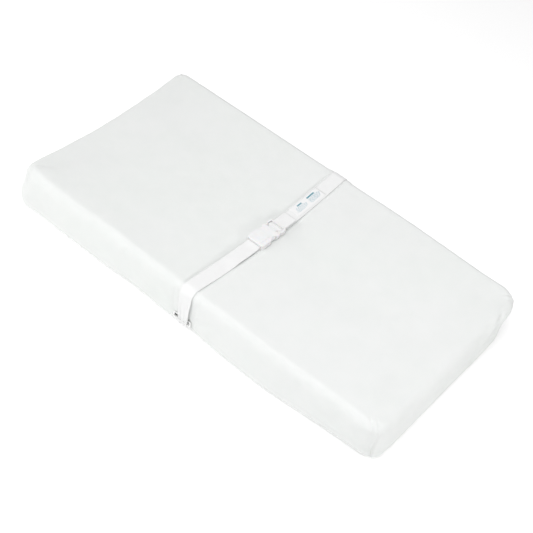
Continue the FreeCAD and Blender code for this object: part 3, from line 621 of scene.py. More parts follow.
class Form:
    """The structured surface of the pad: its points, faces and cloth coordinates."""

    def __init__(self, fineness=1.0, wrap=WRAP_WIDTH):
        self.fractions = side_fractions(fineness)
        rows = form_rows(self.fractions, wrap)
        self.round = len(rows[0][0])
        self.rows = len(rows)
        self.points = np.concatenate([np.column_stack([r[0], r[1]]) for r in rows])
        self.outward = np.concatenate([r[2] for r in rows])
        self.inset = np.repeat([r[3] for r in rows], self.round)
        self.from_corner = np.concatenate([r[4] for r in rows])
        lengths = [len(self.fractions[k % 2]) - 1 for k in range(4)]
        self.starts = np.cumsum([0] + lengths)
        self.side = np.searchsorted(self.starts, np.arange(self.round), side="right") - 1
        nearest = (self.side + (rows[0][4] < 0)) % 4
        self.corner = np.tile(nearest, self.rows)
        self.add_middle()

    def add_middle(self):
        """The grid inside the innermost ring, and the faces of the whole form."""
        across, deep = self.fractions
        x = (2 * across - 1) * (HALF_X - BLEND_INSET)
        y = (2 * deep - 1) * (HALF_Y - BLEND_INSET)
        i = np.arange(len(x))
        j = np.arange(len(y))
        last = (self.rows - 1) * self.round
        grid = np.zeros((len(x), len(y)), int)
        grid[:, 0] = last + i
        grid[:, -1] = last + self.starts[2] + i[::-1]
        grid[-1, :] = last + self.starts[1] + j
        grid[0, :] = last + (self.starts[3] + j[::-1]) % self.round
        inner = np.stack(np.meshgrid(x[1:-1], y[1:-1], indexing="ij"), axis=-1).reshape(-1, 2)
        count = len(inner)
        grid[1:-1, 1:-1] = len(self.points) + np.arange(count).reshape(len(x) - 2, len(y) - 2)
        heights = dish_height(inner[:, 1])
        self.points = np.vstack([self.points, np.column_stack([inner, heights])])
        self.outward = np.vstack([self.outward, np.zeros((count, 2))])
        self.inset = np.append(self.inset, np.full(count, BLEND_INSET))
        self.from_corner = np.append(self.from_corner, np.full(count, 1.0))
        self.corner = np.append(self.corner, np.full(count, -1))
        middle = np.stack([grid[:-1, :-1], grid[1:, :-1], grid[1:, 1:], grid[:-1, 1:]], axis=-1)
        self.faces = np.vstack([skin_faces(self.rows, self.round), middle.reshape(-1, 4)])

    def flat_coordinates(self):
        """Cloth coordinates of every face corner: the plan on top, and lengths down the sides."""
        points = self.points[: self.rows * self.round].reshape(self.rows, self.round, 3)
        steps = np.linalg.norm(np.diff(points, axis=0), axis=2)
        down = np.vstack([steps[::-1].cumsum(axis=0)[::-1], np.zeros(self.round)]).ravel()
        count = (self.rows - 1) * self.round
        index = self.faces[:count]
        side = self.side[np.arange(count) % self.round]
        out = np.array(SIDE_OUT, float)[side][:, None]
        depth = (np.where(side % 2 == 0, HALF_Y, HALF_X) - BLEND_INSET)[:, None] + down[index]
        plan = self.points[index, :2]
        along = plan - out * (plan * out).sum(axis=2, keepdims=True)
        top = self.points[self.faces[count:], :2]
        return np.concatenate([along + out * depth[:, :, None], top])


# ---- cover ----

def slit_faces(form):
    """The faces that the two slits take out of the cover's sides."""
    middle = form.points[form.faces].mean(axis=1)
    in_height = np.abs(middle[:, 2] - SLIT_LEVEL) < SLIT_OPENING / 2
    in_length = np.abs(middle[:, 0]) < SLIT_LENGTH / 2
    on_side = np.abs(middle[:, 1]) > HALF_Y - 0.2 * MM
    return in_height & in_length & on_side


def along_table(values, table):
    """A table of (place, amount) pairs, in mm, read at each value, in metres."""
    places, amounts = zip(*table)
    return np.interp(np.asarray(values) / MM, places, amounts) * MM


# how far the near side's foot stands out (or is tucked in) along the pad
NEAR_FOOT = (
    (-406, 0), (-365, -1.4), (-313, 0.4), (-199, 0.8), (-160, -0.4), (-123, -2.6), (-85, -1.0),
    (-44, 0.3), (-18, 0.2), (5, -1.6), (15, -1.9), (30, 0), (60, 2.2), (90, 3.6), (130, 4.6),
    (170, 4.9), (205, 3.6), (237, 1.5), (256, -0.5), (293, -3.2), (342, -6.2), (380, -6.2),
    (406, -5.0),
)
# how far the far side's crest is drawn in along the pad
FAR_CREST = ((-406, 0), (60, 0.8), (115, 2.0), (166, 1.6), (207, 0.4), (260, -1.4), (320, -3.6),
             (360, -4.6), (406, -5.0))


def body_shift(form):
    """Large, slow departures of the stuffed pad from its plain form."""
    x, y, z = form.points.T
    out_x, out_y = form.outward.T
    shift = np.zeros_like(form.points)
    foot = (1 - step_mm(z, 10, 52)) * (1 - step_mm(form.inset, 14, 46))
    foot = np.where(form.inset > 0, np.where(z < FOOT_RADIUS, foot, 0), foot)
    near = np.clip(-out_y, 0, 1) ** 2 * foot * (along_table(x, NEAR_FOOT) - 1.0 * MM)
    shift[:, 1] -= near * 0.75
    shift[:, 2] -= near * 0.66
    high = step_mm(z, 30, 80) * step_mm(y, 120, 200)
    shift[:, 1] += high * along_table(x, FAR_CREST)
    # near left corner: full below, drawn in above; far right corner: drawn in all the way up
    for corner, low, top in ((0, 3.6, -5.0), (2, -9.0, 3.0), (3, 0.0, -0.8), (1, -1.8, 0.0)):
        at = (form.corner == corner) * bump_mm(form.from_corner, 0, 34)
        level = step_mm(z, 30, 74)
        amount = (low + (top - low) * level) * MM * at * (1 - step_mm(form.inset, 16, 60))
        shift[:, 0] += amount * out_x
        shift[:, 1] += amount * out_y
    return shift


# seams and pleats at the corners: for each corner, (place round it at the top, at the foot,
# width, depth), in mm, where a negative depth stands proud; the first is the sewn dart
DARTS = {
    0: ((-7.0, -2.0, 2.0, 2.6), (-3.0, 0.5, 3.0, -1.2), (9.0, 3.0, 3.2, 0.9)),
    1: ((-1.0, -1.0, 1.7, 2.6), (-12.5, -4.5, 2.2, 1.9), (-6.4, -2.8, 3.4, -1.3),
        (5.5, 5.0, 4.0, -0.6)),
    2: ((2.0, 0.0, 1.8, 2.2), (-8.0, -3.0, 2.6, 1.2), (-3.0, -1.5, 3.2, -1.0)),
    3: ((-2.0, 0.0, 1.8, 2.2), (7.0, 3.0, 2.6, 1.2), (3.0, 1.5, 3.2, -1.0)),
}


def seam_place(corner, top, foot, z):
    """Place of a seam round its corner at a height, in mm: it wanders a little on its way down."""
    level = np.clip(z / CREST_TOP, 0, 1)
    return foot + (top - foot) * level ** 1.3 + 0.6 * np.sin(z / (11 * MM) + corner)


def seam_depth(form):
    """Depth of the corner seams and pleats at each point: positive is a groove."""
    z = form.points[:, 2]
    depth = np.zeros(len(z))
    fade = step_mm(z, -1, 8) * (1 - step_mm(form.inset * (z > 60 * MM), 8, 24))
    for corner, lines in DARTS.items():
        for top, foot, width, deep in lines:
            middle = seam_place(corner, top, foot, z)
            line_up = bump_mm(form.from_corner, middle, width) * (form.corner == corner)
            depth += deep * MM * line_up * fade * (0.75 + 0.25 * np.cos(z / (17 * MM) + top))
    return depth


# folds: (start, end, width, depth), points in mm; a fold is a groove with a soft swell beside it
FOLDS = (
    ((402, 166, 87), (407, 98, 44), 4.5, 3.0),
    ((407, 104, 50), (406, 62, 10), 5.0, 2.0),
    ((396, 60, 80), (398, -120, 82), 9.0, 0.5),
    ((-404, 150, 80), (-406, 60, 40), 6.0, 0.9),
    ((-398, -150, 86), (-404, -60, 60), 6.0, 0.7),
    ((-30, -216, 30), (-110, -216, 66), 7.0, 0.8),
    ((26, -216, 28), (70, -216, 62), 6.0, 0.9),
    ((24, -215, 14), (120, -216, 20), 6.0, 0.8),
    ((-26, -215, 16), (-95, -216, 12), 6.0, 0.9),
    ((30, 216, 30), (100, 216, 62), 7.0, 0.8),
    ((-28, 216, 28), (-80, 216, 58), 6.5, 0.8),
    ((-24, 215, 14), (-110, 216, 18), 6.0, 0.8),
    ((330, -216, 60), (392, -200, 18), 7.0, 1.0),
    ((300, -216, 22), (380, -210, 10), 6.0, 0.9),
    ((-330, -216, 50), (-392, -205, 16), 7.0, 0.8),
    ((340, 216, 55), (385, 205, 20), 7.0, 0.8),
    ((-350, 216, 58), (-394, 208, 20), 7.0, 0.8),
)


def fold_depth(points):
    depth = np.zeros(len(points))
    for start, end, width, deep in FOLDS:
        a = np.array(start, float) * MM
        b = np.array(end, float) * MM
        share = np.clip((points - a) @ (b - a) / ((b - a) @ (b - a)), 0, 1)
        away = np.linalg.norm(points - a - share[:, None] * (b - a), axis=1)
        ends = smooth_step(share, 0.0, 0.25) * (1 - smooth_step(share, 0.7, 1.0)) + 0.12
        groove = bump_mm(away, 0, width)
        swell = bump_mm(away, 2.2 * width, 1.2 * width)
        depth += deep * MM * ends * (groove - 0.4 * swell)
    return depth


def side_and_top(form):
    """How much each point is on the pad's side, and on its top."""
    z = form.points[:, 2]
    side = step_mm(z, 4, 20) * (1 - step_mm(z, 66, 88))
    return side, step_mm(z, 66, 76) * step_mm(form.inset, 8, 16)


def slow_shape(form):
    """Outward departure of the whole stuffed pad, which the liner and foam share with the cover."""
    p = form.points
    x, y, z = p.T
    side, top = side_and_top(form)
    by_slit = (1 - step_mm(np.abs(x), 24, 48)) * bump_mm(z - SLIT_LEVEL, 0, 22)
    by_slit *= np.abs(y) > HALF_Y - FOOT_RADIUS
    slow = noise_field(p, 0.12, 1)
    swell = (1.1 * slow * top + 1.5 * slow * side * (1 - by_slit)) * MM
    return swell - fold_depth(p) * (1 - by_slit)


def fine_shift(form, normals):
    """Puckers, seams, folds and the slight unevenness of a soft cover, along the normals."""
    p = form.points
    x, y, z = p.T
    side, top = side_and_top(form)
    slow = noise_field(p, 0.12, 1)
    ripple = noise_field(p * np.array([1, 1, 0.6]), 0.03, 2)
    edge = np.abs(y) > HALF_Y - FOOT_RADIUS
    around_slit = step_mm(np.hypot(x / 1.6, z - SLIT_LEVEL), 14, 24)
    out = slow_shape(form) - seam_depth(form)
    out += (0.14 * ripple * top + 0.45 * ripple * side * np.where(edge, around_slit, 1)) * MM
    # vertical gathers that the slits' bound edges pull into the sides
    by_slit = np.exp(-(x / (46 * MM)) ** 2) * edge * bump_mm(z - SLIT_LEVEL, 0, 20)
    wave = np.sin(2 * math.pi * np.abs(x) / (11.5 * MM) + 2.2 * slow)
    out += 0.75 * MM * by_slit * wave * step_mm(np.abs(x), 21, 30)
    # the strap beds into both crests, and the cloth swells a little beside it
    across = 1 - step_mm(np.abs(x), 13, 19)
    crest = step_mm(z, 50, 80) * step_mm(np.abs(y), 120, 180)
    out -= 0.3 * MM * across * crest
    out += 0.5 * MM * bump_mm(np.abs(x), 21, 6) * crest
    # the taut strap leaves a furrow along its -X edge, and the cloth swells up to its +X edge
    on_top = (z > 70 * MM) * (form.inset > 10 * MM)
    reach = step_mm(np.abs(y), 20, 44) * (1 - step_mm(np.abs(y), 176, 204))
    furrow = bump_mm(x, -17.5, 2.4) + 0.6 * bump_mm(x, -22, 6)
    out -= 1.7 * MM * furrow * on_top * (0.3 + 0.7 * reach)
    swell = 1.2 + 1.7 * (1 - step_mm(np.abs(y), 70, 130))
    beyond_plug = np.where(y > 0, step_mm(y, 64, 84), 1)
    out += swell * MM * bump_mm(x, 18.5, 5.5) * on_top * reach * beyond_plug
    # the cloth lies a little lower where the released plug slides over it
    way = step_mm(y, 20, 36) * (1 - step_mm(y, 64, 82))
    out -= 0.7 * MM * way * (1 - step_mm(np.abs(x), 21, 32)) * on_top
    return normals * out[:, None]


def underside_shift(form):
    """Gathers round the opening: the elastic draws the cloth into soft pleats."""
    x, y, z = form.points.T
    around = np.arctan2(y / HALF_Y, x / HALF_X)
    under = (z < 0.5 * MM) & (form.inset > FOOT_RADIUS)
    reach = step_mm(form.inset, 24, 38) * (1 - step_mm(form.inset, 40, 45))
    shift = np.zeros_like(form.points)
    columns = np.arange(len(around)) % form.round
    turns = noise_field(np.column_stack([x, y, 0 * x]), 0.11, 5)
    pleat = 0.5 + 0.5 * np.sin(columns * (2 * math.pi / 6.0) + 6.0 * turns)
    strength = 0.7 + 0.3 * np.sin(7 * around + 1.0)
    hidden = step_mm(form.inset, 40, 45) * (form.inset < 56 * MM)
    shift[:, 2] = (2.0 * reach * pleat * strength + 1.0 * hidden) * MM * under
    return shift


def shaped_points(form, normals):
    points = form.points + body_shift(form) + fine_shift(form, normals)
    points += underside_shift(form)
    points[:, 2] = np.maximum(points[:, 2], 0)
    return points


def plain_normals(form):
    plain = make_object("plain_form", form.points, form.faces)
    normals = vectors_of(plain, "normal")
    bpy.data.objects.remove(plain)
    return normals


def billow(obj, held, cap, pressure=4.0, frames=20):
    """Cloth simulation: the cover swells between the places where it is held, up to a cap."""
    before = vectors_of(obj, "co")
    group = obj.vertex_groups.new(name="held")
    weights = np.round(held, 1)
    for weight in np.unique(weights[weights > 0]):
        group.add([int(i) for i in np.flatnonzero(weights == weight)], float(weight), "REPLACE")
    cloth = obj.modifiers.new("billow", "CLOTH")
    settings = {
        "vertex_group_mass": "held", "use_pressure": True, "uniform_pressure_force": pressure,
        "quality": 4, "mass": 0.25, "tension_stiffness": 12, "compression_stiffness": 6,
        "shear_stiffness": 4, "bending_stiffness": 0.4, "shrink_min": -0.006,
    }
    for name, value in settings.items():
        setattr(cloth.settings, name, value)
    cloth.settings.effector_weights.gravity = 0
    cloth.collision_settings.use_collision = False
    cloth.point_cache.frame_start = 1
    cloth.point_cache.frame_end = frames
    for frame_number in range(1, frames + 1):
        bpy.context.scene.frame_set(frame_number)
    shown = obj.evaluated_get(bpy.context.evaluated_depsgraph_get())
    move = vectors_of(shown, "co") - before
    obj.modifiers.remove(cloth)
    obj.vertex_groups.remove(group)
    bpy.context.scene.frame_set(1)
    length = np.linalg.norm(move, axis=1)
    limited = cap * np.tanh(length / cap)
    move *= (limited / np.maximum(length, 1e-9))[:, None]
    return before + move


def where_held(form):
    """1 where seams, the top, the foot, the strap and the slits hold the cover, 0 where it is free."""
    x, y, z = form.points.T
    seam = bump_mm(form.from_corner, 0, 7)
    under = 1 - step_mm(z, 12, 28)
    slit = (np.abs(y) > HALF_Y - FOOT_RADIUS) * (np.abs(x) < 24 * MM) * (z < 40 * MM)
    strap = (1 - step_mm(np.abs(x), 15, 30)) * (z > 40 * MM)
    top = step_mm(form.inset, 3, 12) * (z > 40 * MM)
    return np.clip(np.maximum.reduce([seam, under, 1.0 * slit, strap, top]), 0, 1)


def make_cover():
    form = Form()
    uvs = form.flat_coordinates()
    keep = ~slit_faces(form)
    points = shaped_points(form, plain_normals(form))
    cover = make_object("cover_cloth", points, form.faces[keep], uvs[keep])
    held = where_held(form)
    inward = vectors_of(cover, "normal") * ((1 - held) * 1.2 * MM)[:, None]
    move_points(cover, points - inward)
    points = billow(cover, held, 2.2 * MM)
    move_points(cover, points)
    thicken(cover, COVER_THICKNESS)
    return cover, form, points


def inner_points(form, depth):
    """The stuffed pad's form a depth inside the cover, clear of the cover's seams and folds."""
    clear = 2.0 * MM * bump_mm(form.from_corner, 0, 15) * (form.points[:, 2] > FOOT_RADIUS / 2)
    out = slow_shape(form) - 0.5 * MM - depth - clear
    points = form.points + body_shift(form) + plain_normals(form) * out[:, None]
    points[:, 2] = np.maximum(points[:, 2], depth)
    return points


def make_liner():
    form = Form(0.5, BASE_MARGIN + LINER_INSET + 5 * MM)
    liner = make_object("liner_skin", inner_points(form, LINER_INSET), form.faces)
    thicken(liner, LINER_THICKNESS)
    return liner


def make_foam():
    form = Form(0.4, BLEND_INSET)
    points = inner_points(form, FOAM_INSET)
    foam = make_object("foam_block", points, list(form.faces) + [tuple(range(form.round))[::-1]])
    foam.data.polygons[-1].use_smooth = False
    return foam


# ---- hem and stitches ----

def make_casing(form):
    """The hem's casing round the opening, gathered by the elastic inside it."""
    sections = 14
    squared = lambda value, power: math.copysign(abs(value) ** power, value)
    rows = []
    for j in range(sections):
        turn = 2 * math.pi * j / sections
        inset = (48.6 + 7.2 * squared(math.cos(turn), 0.7)) * MM
        height = (1.62 + 1.35 * squared(math.sin(turn), 0.8)) * MM
        places, outward, corner = ring(inset, (OPENING_RADIUS,) * 4, form.fractions)
        columns = np.arange(len(places))
        around = np.column_stack([places[:, 0], places[:, 1], np.zeros(len(places))])
        turns = noise_field(around, 0.03, 8)
        gather = np.sin(columns * (2 * math.pi / 4.0) + 5.0 * turns) * (0.7 + 0.3 * np.sin(turns * 9))
        low = max(-math.sin(turn), 0)
        z = height + 0.75 * MM * (0.5 + 0.5 * gather) * low
        plan = places + outward * (1.1 * MM * gather * abs(math.cos(turn)))[:, None]
        rows.append(np.column_stack([plan, np.clip(z, 0.05 * MM, 3.05 * MM)]))
    count = form.round
    faces = []
    uvs = []
    lengths = np.linspace(0, 2.3, count + 1)
    for j in range(sections):
        for c in range(count):
            corners = ((j, c), (j + 1, c), (j + 1, c + 1), (j, c + 1))
            faces.append([row % sections * count + column % count for row, column in corners])
            uvs += [(lengths[column], row * 2.2 * MM) for row, column in corners]
    return make_object("hem_casing", np.concatenate(rows), faces, uvs)


def stitch_shape(start, end, lift, width=0.55 * MM):
    """One stitch: a thread that dips into the cloth at both ends."""
    start, end, lift = (np.array(v, float) for v in (start, end, lift))
    along = (end - start) / np.linalg.norm(end - start)
    across = np.cross(along, lift)
    sections = []
    for share in np.linspace(0, 1, 5):
        rise = math.sin(math.pi * share)
        middle = start + (end - start) * share + lift * width * (0.55 * rise - 0.15)
        thick = width / 2 * (0.45 + 0.55 * rise)
        sections.append([middle + thick * (across * math.cos(turn) + lift * math.sin(turn))
                         for turn in np.linspace(0, 2 * math.pi, 7)[:-1]])
    return capped(sections)


def stitch_line(line, pitch, shares, out):
    """Stitches at a pitch along a line of points, each between two shares of its pitch."""
    line = np.array(line)
    length = lengths_along(line)
    made = []
    # the small share keeps a pitch that divides the line exactly from losing a stitch to rounding
    for i in range(int(length[-1] / pitch + 1e-6)):
        start, end = (
            [np.interp((i + share) * pitch, length, line[:, axis]) for axis in range(3)]
            for share in shares
        )
        made.append(stitch_shape(start, end, out))
    return made


def make_hem_stitches(form):
    fine = (np.linspace(0, 1, 900), np.linspace(0, 1, 480))
    places, outward, corner = ring(40.2 * MM, (OPENING_RADIUS,) * 4, fine)
    closed = np.vstack([places, places[:1]])
    line = np.column_stack([closed, np.full(len(closed), 0.28 * MM)])
    length = lengths_along(line)[-1]
    stitches = stitch_line(line, length / int(length / (5.5 * MM)), (0.12, 0.72), (0, 0, -1))
    return make_object("hem_stitches", *gathered(stitches))


def make_corner_stitches(form, points, pitch=4.0 * MM):
    """Stitches down the seam at each corner, on the cover's shaped surface."""
    grid, plain = (v[: form.rows * form.round].reshape(form.rows, form.round, 3)
                   for v in (points, form.points))
    corner_at = form.from_corner[: form.rows * form.round].reshape(form.rows, form.round)
    stitches = []
    for corner, lines in DARTS.items():
        top, foot, width, deep = lines[0]
        columns = (form.starts[corner] + np.arange(-14, 15)) % form.round
        line = []
        for row in range(20, form.rows - 16):
            z = plain[row, columns, 2].mean()
            if z < 9 * MM or z > CREST_TOP - 6 * MM:
                continue
            place = (seam_place(corner, top, foot, z) + width * 1.3) * MM
            places = corner_at[row, columns]
            order = np.argsort(places)
            line.append([np.interp(place, places[order], grid[row, columns[order], i])
                         for i in range(3)])
        out = Vector((1 if corner in (1, 2) else -1, 1 if corner in (2, 3) else -1, 0)).normalized()
        stitches += stitch_line(line, pitch, (0.15, 0.8), tuple(out))
    return make_object("corner_stitches", *gathered(stitches))


# ---- webbing ----

def arc(centre, radius, start, end, step=1.2 * MM):
    """Points of an arc in the YZ plane; angles in degrees from +Y towards +Z."""
    count = max(3, int(abs(math.radians(end - start)) * radius / step) + 1)
    angles = np.radians(np.linspace(start, end, count))
    return [(centre[0] + radius * math.cos(a), centre[1] + radius * math.sin(a)) for a in angles]


def line(start, end, step=2.5 * MM):
    count = max(2, int(math.dist(start, end) / step) + 1)
    return [tuple(p) for p in np.linspace(start, end, count)]


def route_of(*parts):
    """One line of points from parts that each start where the last one ends."""
    return [*parts[0], *(point for part in parts[1:] for point in part[1:])]


def crest_centre():
    y = HALF_Y - CREST_RADIUS
    reach = VALLEY_RADIUS + CREST_RADIUS
    return y, CENTRE_HEIGHT + VALLEY_RADIUS - math.sqrt(reach ** 2 - y ** 2)


def span_radius(height):
    y, z = crest_centre()
    round_radius = CREST_RADIUS + STRAP_GAP + WEBBING_THICKNESS / 2
    rise = height - z
    return (y ** 2 + rise ** 2 - round_radius ** 2) / (2 * (round_radius - rise))


def span_height(height, y, lift=0.0):
    radius = span_radius(height)
    return height + radius - math.sqrt((radius - lift) ** 2 - y ** 2)


def span(height, start, end, lift=0.0, step=2.5 * MM):
    count = max(2, int(abs(end - start) / step) + 1)
    return [(y, span_height(height, y, lift)) for y in np.linspace(start, end, count)]


def strap_route(height, inner_end):
    """Middle line of a strap half, from its anchorage under the pad to its inner end."""
    half = WEBBING_THICKNESS / 2
    inset = 2.4 * MM
    foot_y = HALF_Y - FOOT_RADIUS
    inner_y = HALF_Y - inset
    outer_y = HALF_Y + STRAP_GAP + half
    angle = math.degrees(math.acos(1 - (outer_y - inner_y) / (2 * SLIT_BEND)))
    climb = SLIT_BEND * math.sin(math.radians(angle))
    low = SLIT_LEVEL - climb
    high = SLIT_LEVEL + climb
    crest_y, crest_z = crest_centre()
    crest_round = CREST_RADIUS + STRAP_GAP + half
    radius = span_radius(height)
    lean = math.degrees(math.atan2(crest_y, height + radius - crest_z))
    crest = arc((crest_y, crest_z), crest_round, 0, 90 + lean)
    return route_of(
        line((ANCHOR_END, inset), (foot_y, inset)),
        arc((foot_y, FOOT_RADIUS), FOOT_RADIUS - inset, -90, 0),
        arc((inner_y + SLIT_BEND, low), SLIT_BEND, 180, 180 - angle, 0.7 * MM),
        arc((outer_y - SLIT_BEND, high), SLIT_BEND, -angle, 0, 0.7 * MM),
        line((outer_y, high), (outer_y, crest_z)),
        crest,
        span(height, crest[-1][0], inner_end),
    )


def near_route():
    """The near half, round the socket's bar and back under itself."""
    route = strap_route(NEAR_HEIGHT, STACK_START)
    middle = (BAR_LOW + BAR_HIGH) / 2
    half = (BAR_HIGH - BAR_LOW) / 2
    turn = half + BAR_SLACK + WEBBING_THICKNESS / 2
    centre = (BAR_INNER + half, middle)
    past = (BAR_INNER + BAR_LENGTH + 0.6 * MM, middle - turn)
    back = span(NEAR_HEIGHT, STACK_START - 2 * MM, STACK_END, -LAYER_PITCH)
    return route_of(
        route,
        line(route[-1], (centre[0], middle + turn)),
        arc(centre, turn, 90, 270, 0.6 * MM),
        line((centre[0], middle - turn), past),
        line(past, back[0]),
        back,
    )


def loop_route():
    """The far webbing's end: round the plug's loop bar, under its outer bar, and a free tail."""
    half = (LOOP_BAR_HIGH - LOOP_BAR_LOW) / 2
    middle = LOOP_BAR_LOW + half
    bar_y = LOOP_BAR_START + half
    turn = half + BAR_SLACK + WEBBING_THICKNESS / 2
    over = (LOOP_BAR_START + LOOP_BAR_LENGTH, middle + turn)
    under = (OUTER_BAR_START - 0.3 * MM, TAIL_DIP)
    return route_of(
        line((LOOP_START, middle - turn), (bar_y, middle - turn)),
        arc((bar_y, middle), turn, 270, 90, 0.6 * MM),
        line((bar_y, middle + turn), over),
        line(over, under, 1.2 * MM),
        line(under, (TAIL_END, TAIL_HEIGHT), 1.5 * MM),
    )


def ribbon(name, route, side, width, thickness, offset=0.0, across=17, shape=None, start=0.0):
    """A woven band along a route in the YZ plane, with rounded selvages and closed ends.

    shape(u, s, place) may move the band: it is given each point's place across (-1 to 1), its
    length along the route and its middle-line point, and gives (sideways, to the left of the
    route), in metres. To the left of a strap's route is towards the pad."""
    route = np.array(route, float)
    along = np.gradient(route, axis=0)
    along /= np.linalg.norm(along, axis=1)[:, None]
    normal = np.column_stack([-along[:, 1], along[:, 0]])
    length = lengths_along(route)
    u = np.linspace(-1, 1, across)
    rim = np.clip((1 - np.abs(u)) / 0.09, 0, 1)
    half = thickness / 2 * (0.45 + 0.55 * np.sqrt(1 - (1 - rim) ** 2))
    section = [(a, h) for a, h in zip(u, half)] + [(a, -h) for a, h in zip(u[::-1], half[::-1])]
    points = []
    for place, n, s in zip(route, normal, length):
        for a, h in section:
            move = shape(a, s, place) if shape else (0.0, 0.0)
            x = offset + a * width / 2 + move[0]
            rise = h + move[1]
            points.append((x, side * (place[0] + n[0] * rise), place[1] + n[1] * rise))
    count = len(section)
    last = (len(route) - 1) * count
    ends = []
    for j in range(across - 1):
        quad = np.array([j, j + 1, count - 2 - j, count - 1 - j])
        ends += [quad[::-1], last + quad]
    faces = np.vstack([skin_faces(len(route), count), ends])
    if side < 0:
        faces = faces[:, ::-1]
    row, column = np.divmod(faces.ravel(), count)
    plan = np.array(section)[column, 0] * width / 2 + offset
    return make_object(name, points, faces, np.column_stack([plan, start + length[row]]))


def strap_shape(height, lean_from, crest_from):
    """How a strap half lies: its +X edge drops to the pad, and it beds in over the crest."""
    def shape(u, s, place):
        y, z = place
        before_crest = min(y, 190 * MM)
        rise = span_height(height, before_crest) - WEBBING_THICKNESS / 2
        gap = max(rise - dish_height(before_crest) - 0.9 * MM, 0)
        lean = step_mm(y, lean_from, lean_from + 45) * (1 - step_mm(y, 150, 196)) * (z > 70 * MM)
        bed = step_mm(y, crest_from, crest_from + 35) * step_mm(z, 30, 46)
        return 0.0, lean * gap * (0.15 + 0.85 * (u + 1) / 2) + 0.8 * MM * bed
    return shape


def near_strap_shape(u, s, place):
    """The near half is also bunched where it comes out of its slit."""
    sideways, inwards = strap_shape(NEAR_HEIGHT, 84, 150)(u, s, place)
    y, z = place
    outside = y > HALF_Y - 6 * MM
    bunch = (1 - step_mm(z, 22, 60)) * outside
    sideways += bunch * (2.6 * MM - 0.24 * WEBBING_WIDTH / 2 * u)
    fold = 0.5 + 0.5 * math.cos(2 * math.pi * 1.5 * u + 0.8)
    soft = bump_mm(z, 44, 22) * outside * math.sin(6.5 * u + 0.5)
    edge = smooth_step(u, 0.4, 1.0) * bump_mm(z, 54, 13) * outside
    return sideways, inwards - (2.7 * bunch * fold + 0.8 * soft + 2.4 * edge) * MM


def far_strap_shape(u, s, place):
    sideways, inwards = strap_shape(FAR_HEIGHT, 400, 156)(u, s, place)
    y, z = place
    bunch = (1 - step_mm(z, 22, 56)) * (y > HALF_Y - 6 * MM)
    sideways -= bunch * 0.2 * WEBBING_WIDTH / 2 * u
    inwards -= 1.3 * MM * bunch * (0.5 + 0.5 * math.cos(2 * math.pi * u))
    return sideways, inwards


def make_hood():
    """The socket's raised grip panel: a thin rounded plate with rolled edges and three ribs."""
    low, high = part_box("buckle_socket")
    half_x = 10.5 * MM
    start = low.y + 3.2 * MM
    end = -11.0 * MM
    sunk = 0.25 * MM
    rise = 0.9 * MM + sunk
    radius = 3.0 * MM
    base = high.z - sunk
    outline = []
    for cx, cy, turn in ((1, 1, 0), (-1, 1, 90), (-1, -1, 180), (1, -1, 270)):
        for step in range(7):
            angle = math.radians(turn + step * 15)
            x = cx * (half_x - radius) + radius * math.cos(angle)
            y = (start + end) / 2 + cy * ((end - start) / 2 - radius) + radius * math.sin(angle)
            outline.append((x, y, math.cos(angle), math.sin(angle)))
    # how far the plate's edge is drawn in, in mm, at each share of its rise
    levels = ((0.0, 0.0), (0.0, 0.55), (0.12, 0.82), (0.32, 0.96), (0.6, 1.0), (1.1, 1.0))
    parts = [capped([
        [(x - nx * inset * MM, y - ny * inset * MM, base + level * rise) for x, y, nx, ny in outline]
        for inset, level in levels
    ])]
    for rib in range(3):
        middle = start + 5.0 * MM + rib * 2.6 * MM
        sections = []
        for share in np.linspace(0, 1, 9):
            x = (share * 2 - 1) * 6.5 * MM
            size = math.sin(math.pi * (0.04 + 0.92 * share)) ** 0.35 * MM
            sections.append([
                (x, middle + 0.55 * size * math.cos(angle), base + rise + 0.4 * size * math.sin(angle))
                for angle in np.linspace(0, 2 * math.pi, 9)[:-1]
            ])
        parts.append(capped(sections))
    return make_object("socket_grip", *gathered(parts))


# ---- pieces ----

JERSEY = cover_material()
WEBBING = webbing_material()
LABEL = label_material()
NYLON = buckle_material()
THREAD = thread_material()
VINYL = vinyl_material()
RUBBER = base_material()
ELASTIC = elastic_material()
FOAM = foam_material()

NODE_MATERIALS = (
    (RUBBER, ("liner_base",)),
    (VINYL, ("liner_seam_tape",)),
    (ELASTIC, ("hem_elastic",)),
    (THREAD, ("slit_binding_near", "slit_binding_far", "box_stitch_near", "box_stitch_far",
              "bartack_near", "label_stitches")),
    (NYLON, ("buckle_socket", "buckle_plug", "prong_left", "prong_right")),
)
for material, nodes in NODE_MATERIALS:
    for node in nodes:
        for slot in frame["nodes"][node].material_slots:
            slot.material = material

cover, cover_form, cover_points = make_cover()
place(cover, "pad", "cover", JERSEY, "cover")
casing = place(make_casing(cover_form), "pad", "cover", JERSEY)
hem_stitches = place(make_hem_stitches(cover_form), "pad", "thread", THREAD)
seam_stitches = make_corner_stitches(cover_form, cover_points)
place(seam_stitches, "pad", "thread", THREAD, "corner_seams")
liner = place(make_liner(), "pad", "liner", VINYL, "liner_top")
foam = place(make_foam(), "pad", "foam", FOAM, "foam_core")

for name, route, side, shape, body, node in (
    ("near_strap", near_route(), -1, near_strap_shape, "pad", "strap_near"),
    ("far_strap", strap_route(FAR_HEIGHT, FAR_END), 1, far_strap_shape, "pad", "strap_far"),
    ("buckle_loop", loop_route(), 1, None, "plug", "strap_loop"),
):
    strap = ribbon(name, route, side, WEBBING_WIDTH, WEBBING_THICKNESS, shape=shape)
    place(strap, body, "webbing", WEBBING, node)
place(make_hood(), "pad", "buckle", NYLON)
label_route = span(
    FAR_HEIGHT, LABEL_START, LABEL_END, (WEBBING_THICKNESS + LABEL_THICKNESS) / 2
)
label = ribbon("label_ribbon", label_route, 1, LABEL_WIDTH, LABEL_THICKNESS, LABEL_OFFSET,
               start=LABEL_START)
place(label, "pad", "label", LABEL, "care_label")

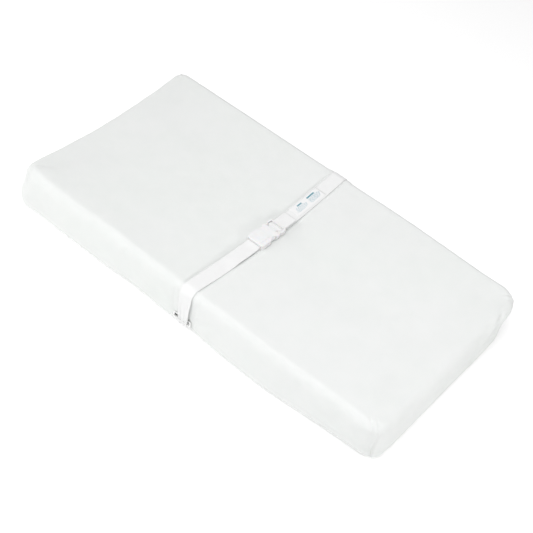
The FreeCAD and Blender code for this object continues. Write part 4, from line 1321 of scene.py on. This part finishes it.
# ---- stage, lights and camera ----

floor = make_object(
    "studio_floor", [(-6, -6, -0.0006), (6, -6, -0.0006), (6, 6, -0.0006), (-6, 6, -0.0006)],
    [(0, 1, 2, 3)], smooth=False,
)
floor.data.materials.append(floor_material())

scene = bpy.context.scene
scene.view_settings.view_transform = "Standard"
scene.world = bpy.data.worlds.new("studio")
scene.world.use_nodes = True
background = scene.world.node_tree.nodes["Background"]
background.inputs["Color"].default_value = (1.0, 1.0, 1.0, 1)
background.inputs["Strength"].default_value = 0.498

# each light: name, place, what it points at, side, power and colour
LIGHTS = (
    ("overhead", (-0.25, -0.15, 2.4), (-0.1, 0, 0), 1.8, 16.4, (1.0, 0.99, 1.0)),
    ("front_right", (0.32, -0.6, 1.2), (0.1, 0, 0), 0.5, 4.6, (0.98, 0.99, 1.0)),
    ("front", (-0.75, -1.7, 1.8), (-0.1, 0, 0), 0.8, 4.5, (1.0, 1.0, 1.0)),
    ("front_left", (-1.3, -1.15, 0.75), (-0.3, 0, 0), 0.9, 6.8, (1.0, 0.99, 0.98)),
    ("right", (1.5, -0.1, 0.75), (0.1, 0, 0), 0.25, 4.4, (1.0, 0.98, 0.98)),
)
for name, location, aim, size, power, colour in LIGHTS:
    data = bpy.data.lights.new(name, "AREA")
    data.shape = "SQUARE"
    data.size = size
    data.energy = power
    data.color = colour
    lamp = bpy.data.objects.new(name, data)
    lamp.location = location
    lamp.rotation_euler = (Vector(aim) - Vector(location)).to_track_quat("-Z", "Y").to_euler()
    scene.collection.objects.link(lamp)

AZIMUTH = math.radians(30.93)
ELEVATION = math.radians(46.0)
ROLL = math.radians(-12.26)
DISTANCE = 2.17937
TARGET = Vector((0.02891, -0.02987, 0.040))
FOCAL_PIXELS = 1235.94
back = Vector((
    math.sin(AZIMUTH) * math.cos(ELEVATION),
    -math.cos(AZIMUTH) * math.cos(ELEVATION),
    math.sin(ELEVATION),
))
camera = bpy.data.objects.new("camera", bpy.data.cameras.new("camera"))
scene.collection.objects.link(camera)
scene.camera = camera
camera.location = TARGET + back * DISTANCE
camera.data.sensor_width = 36.0
camera.data.lens = FOCAL_PIXELS / 533 * 36.0
camera.data.clip_start = 0.05
camera.data.clip_end = 50.0
facing = (-back).to_track_quat("-Z", "Y")
camera.rotation_mode = "QUATERNION"
camera.rotation_quaternion = facing @ Quaternion((0, 0, 1), -ROLL)
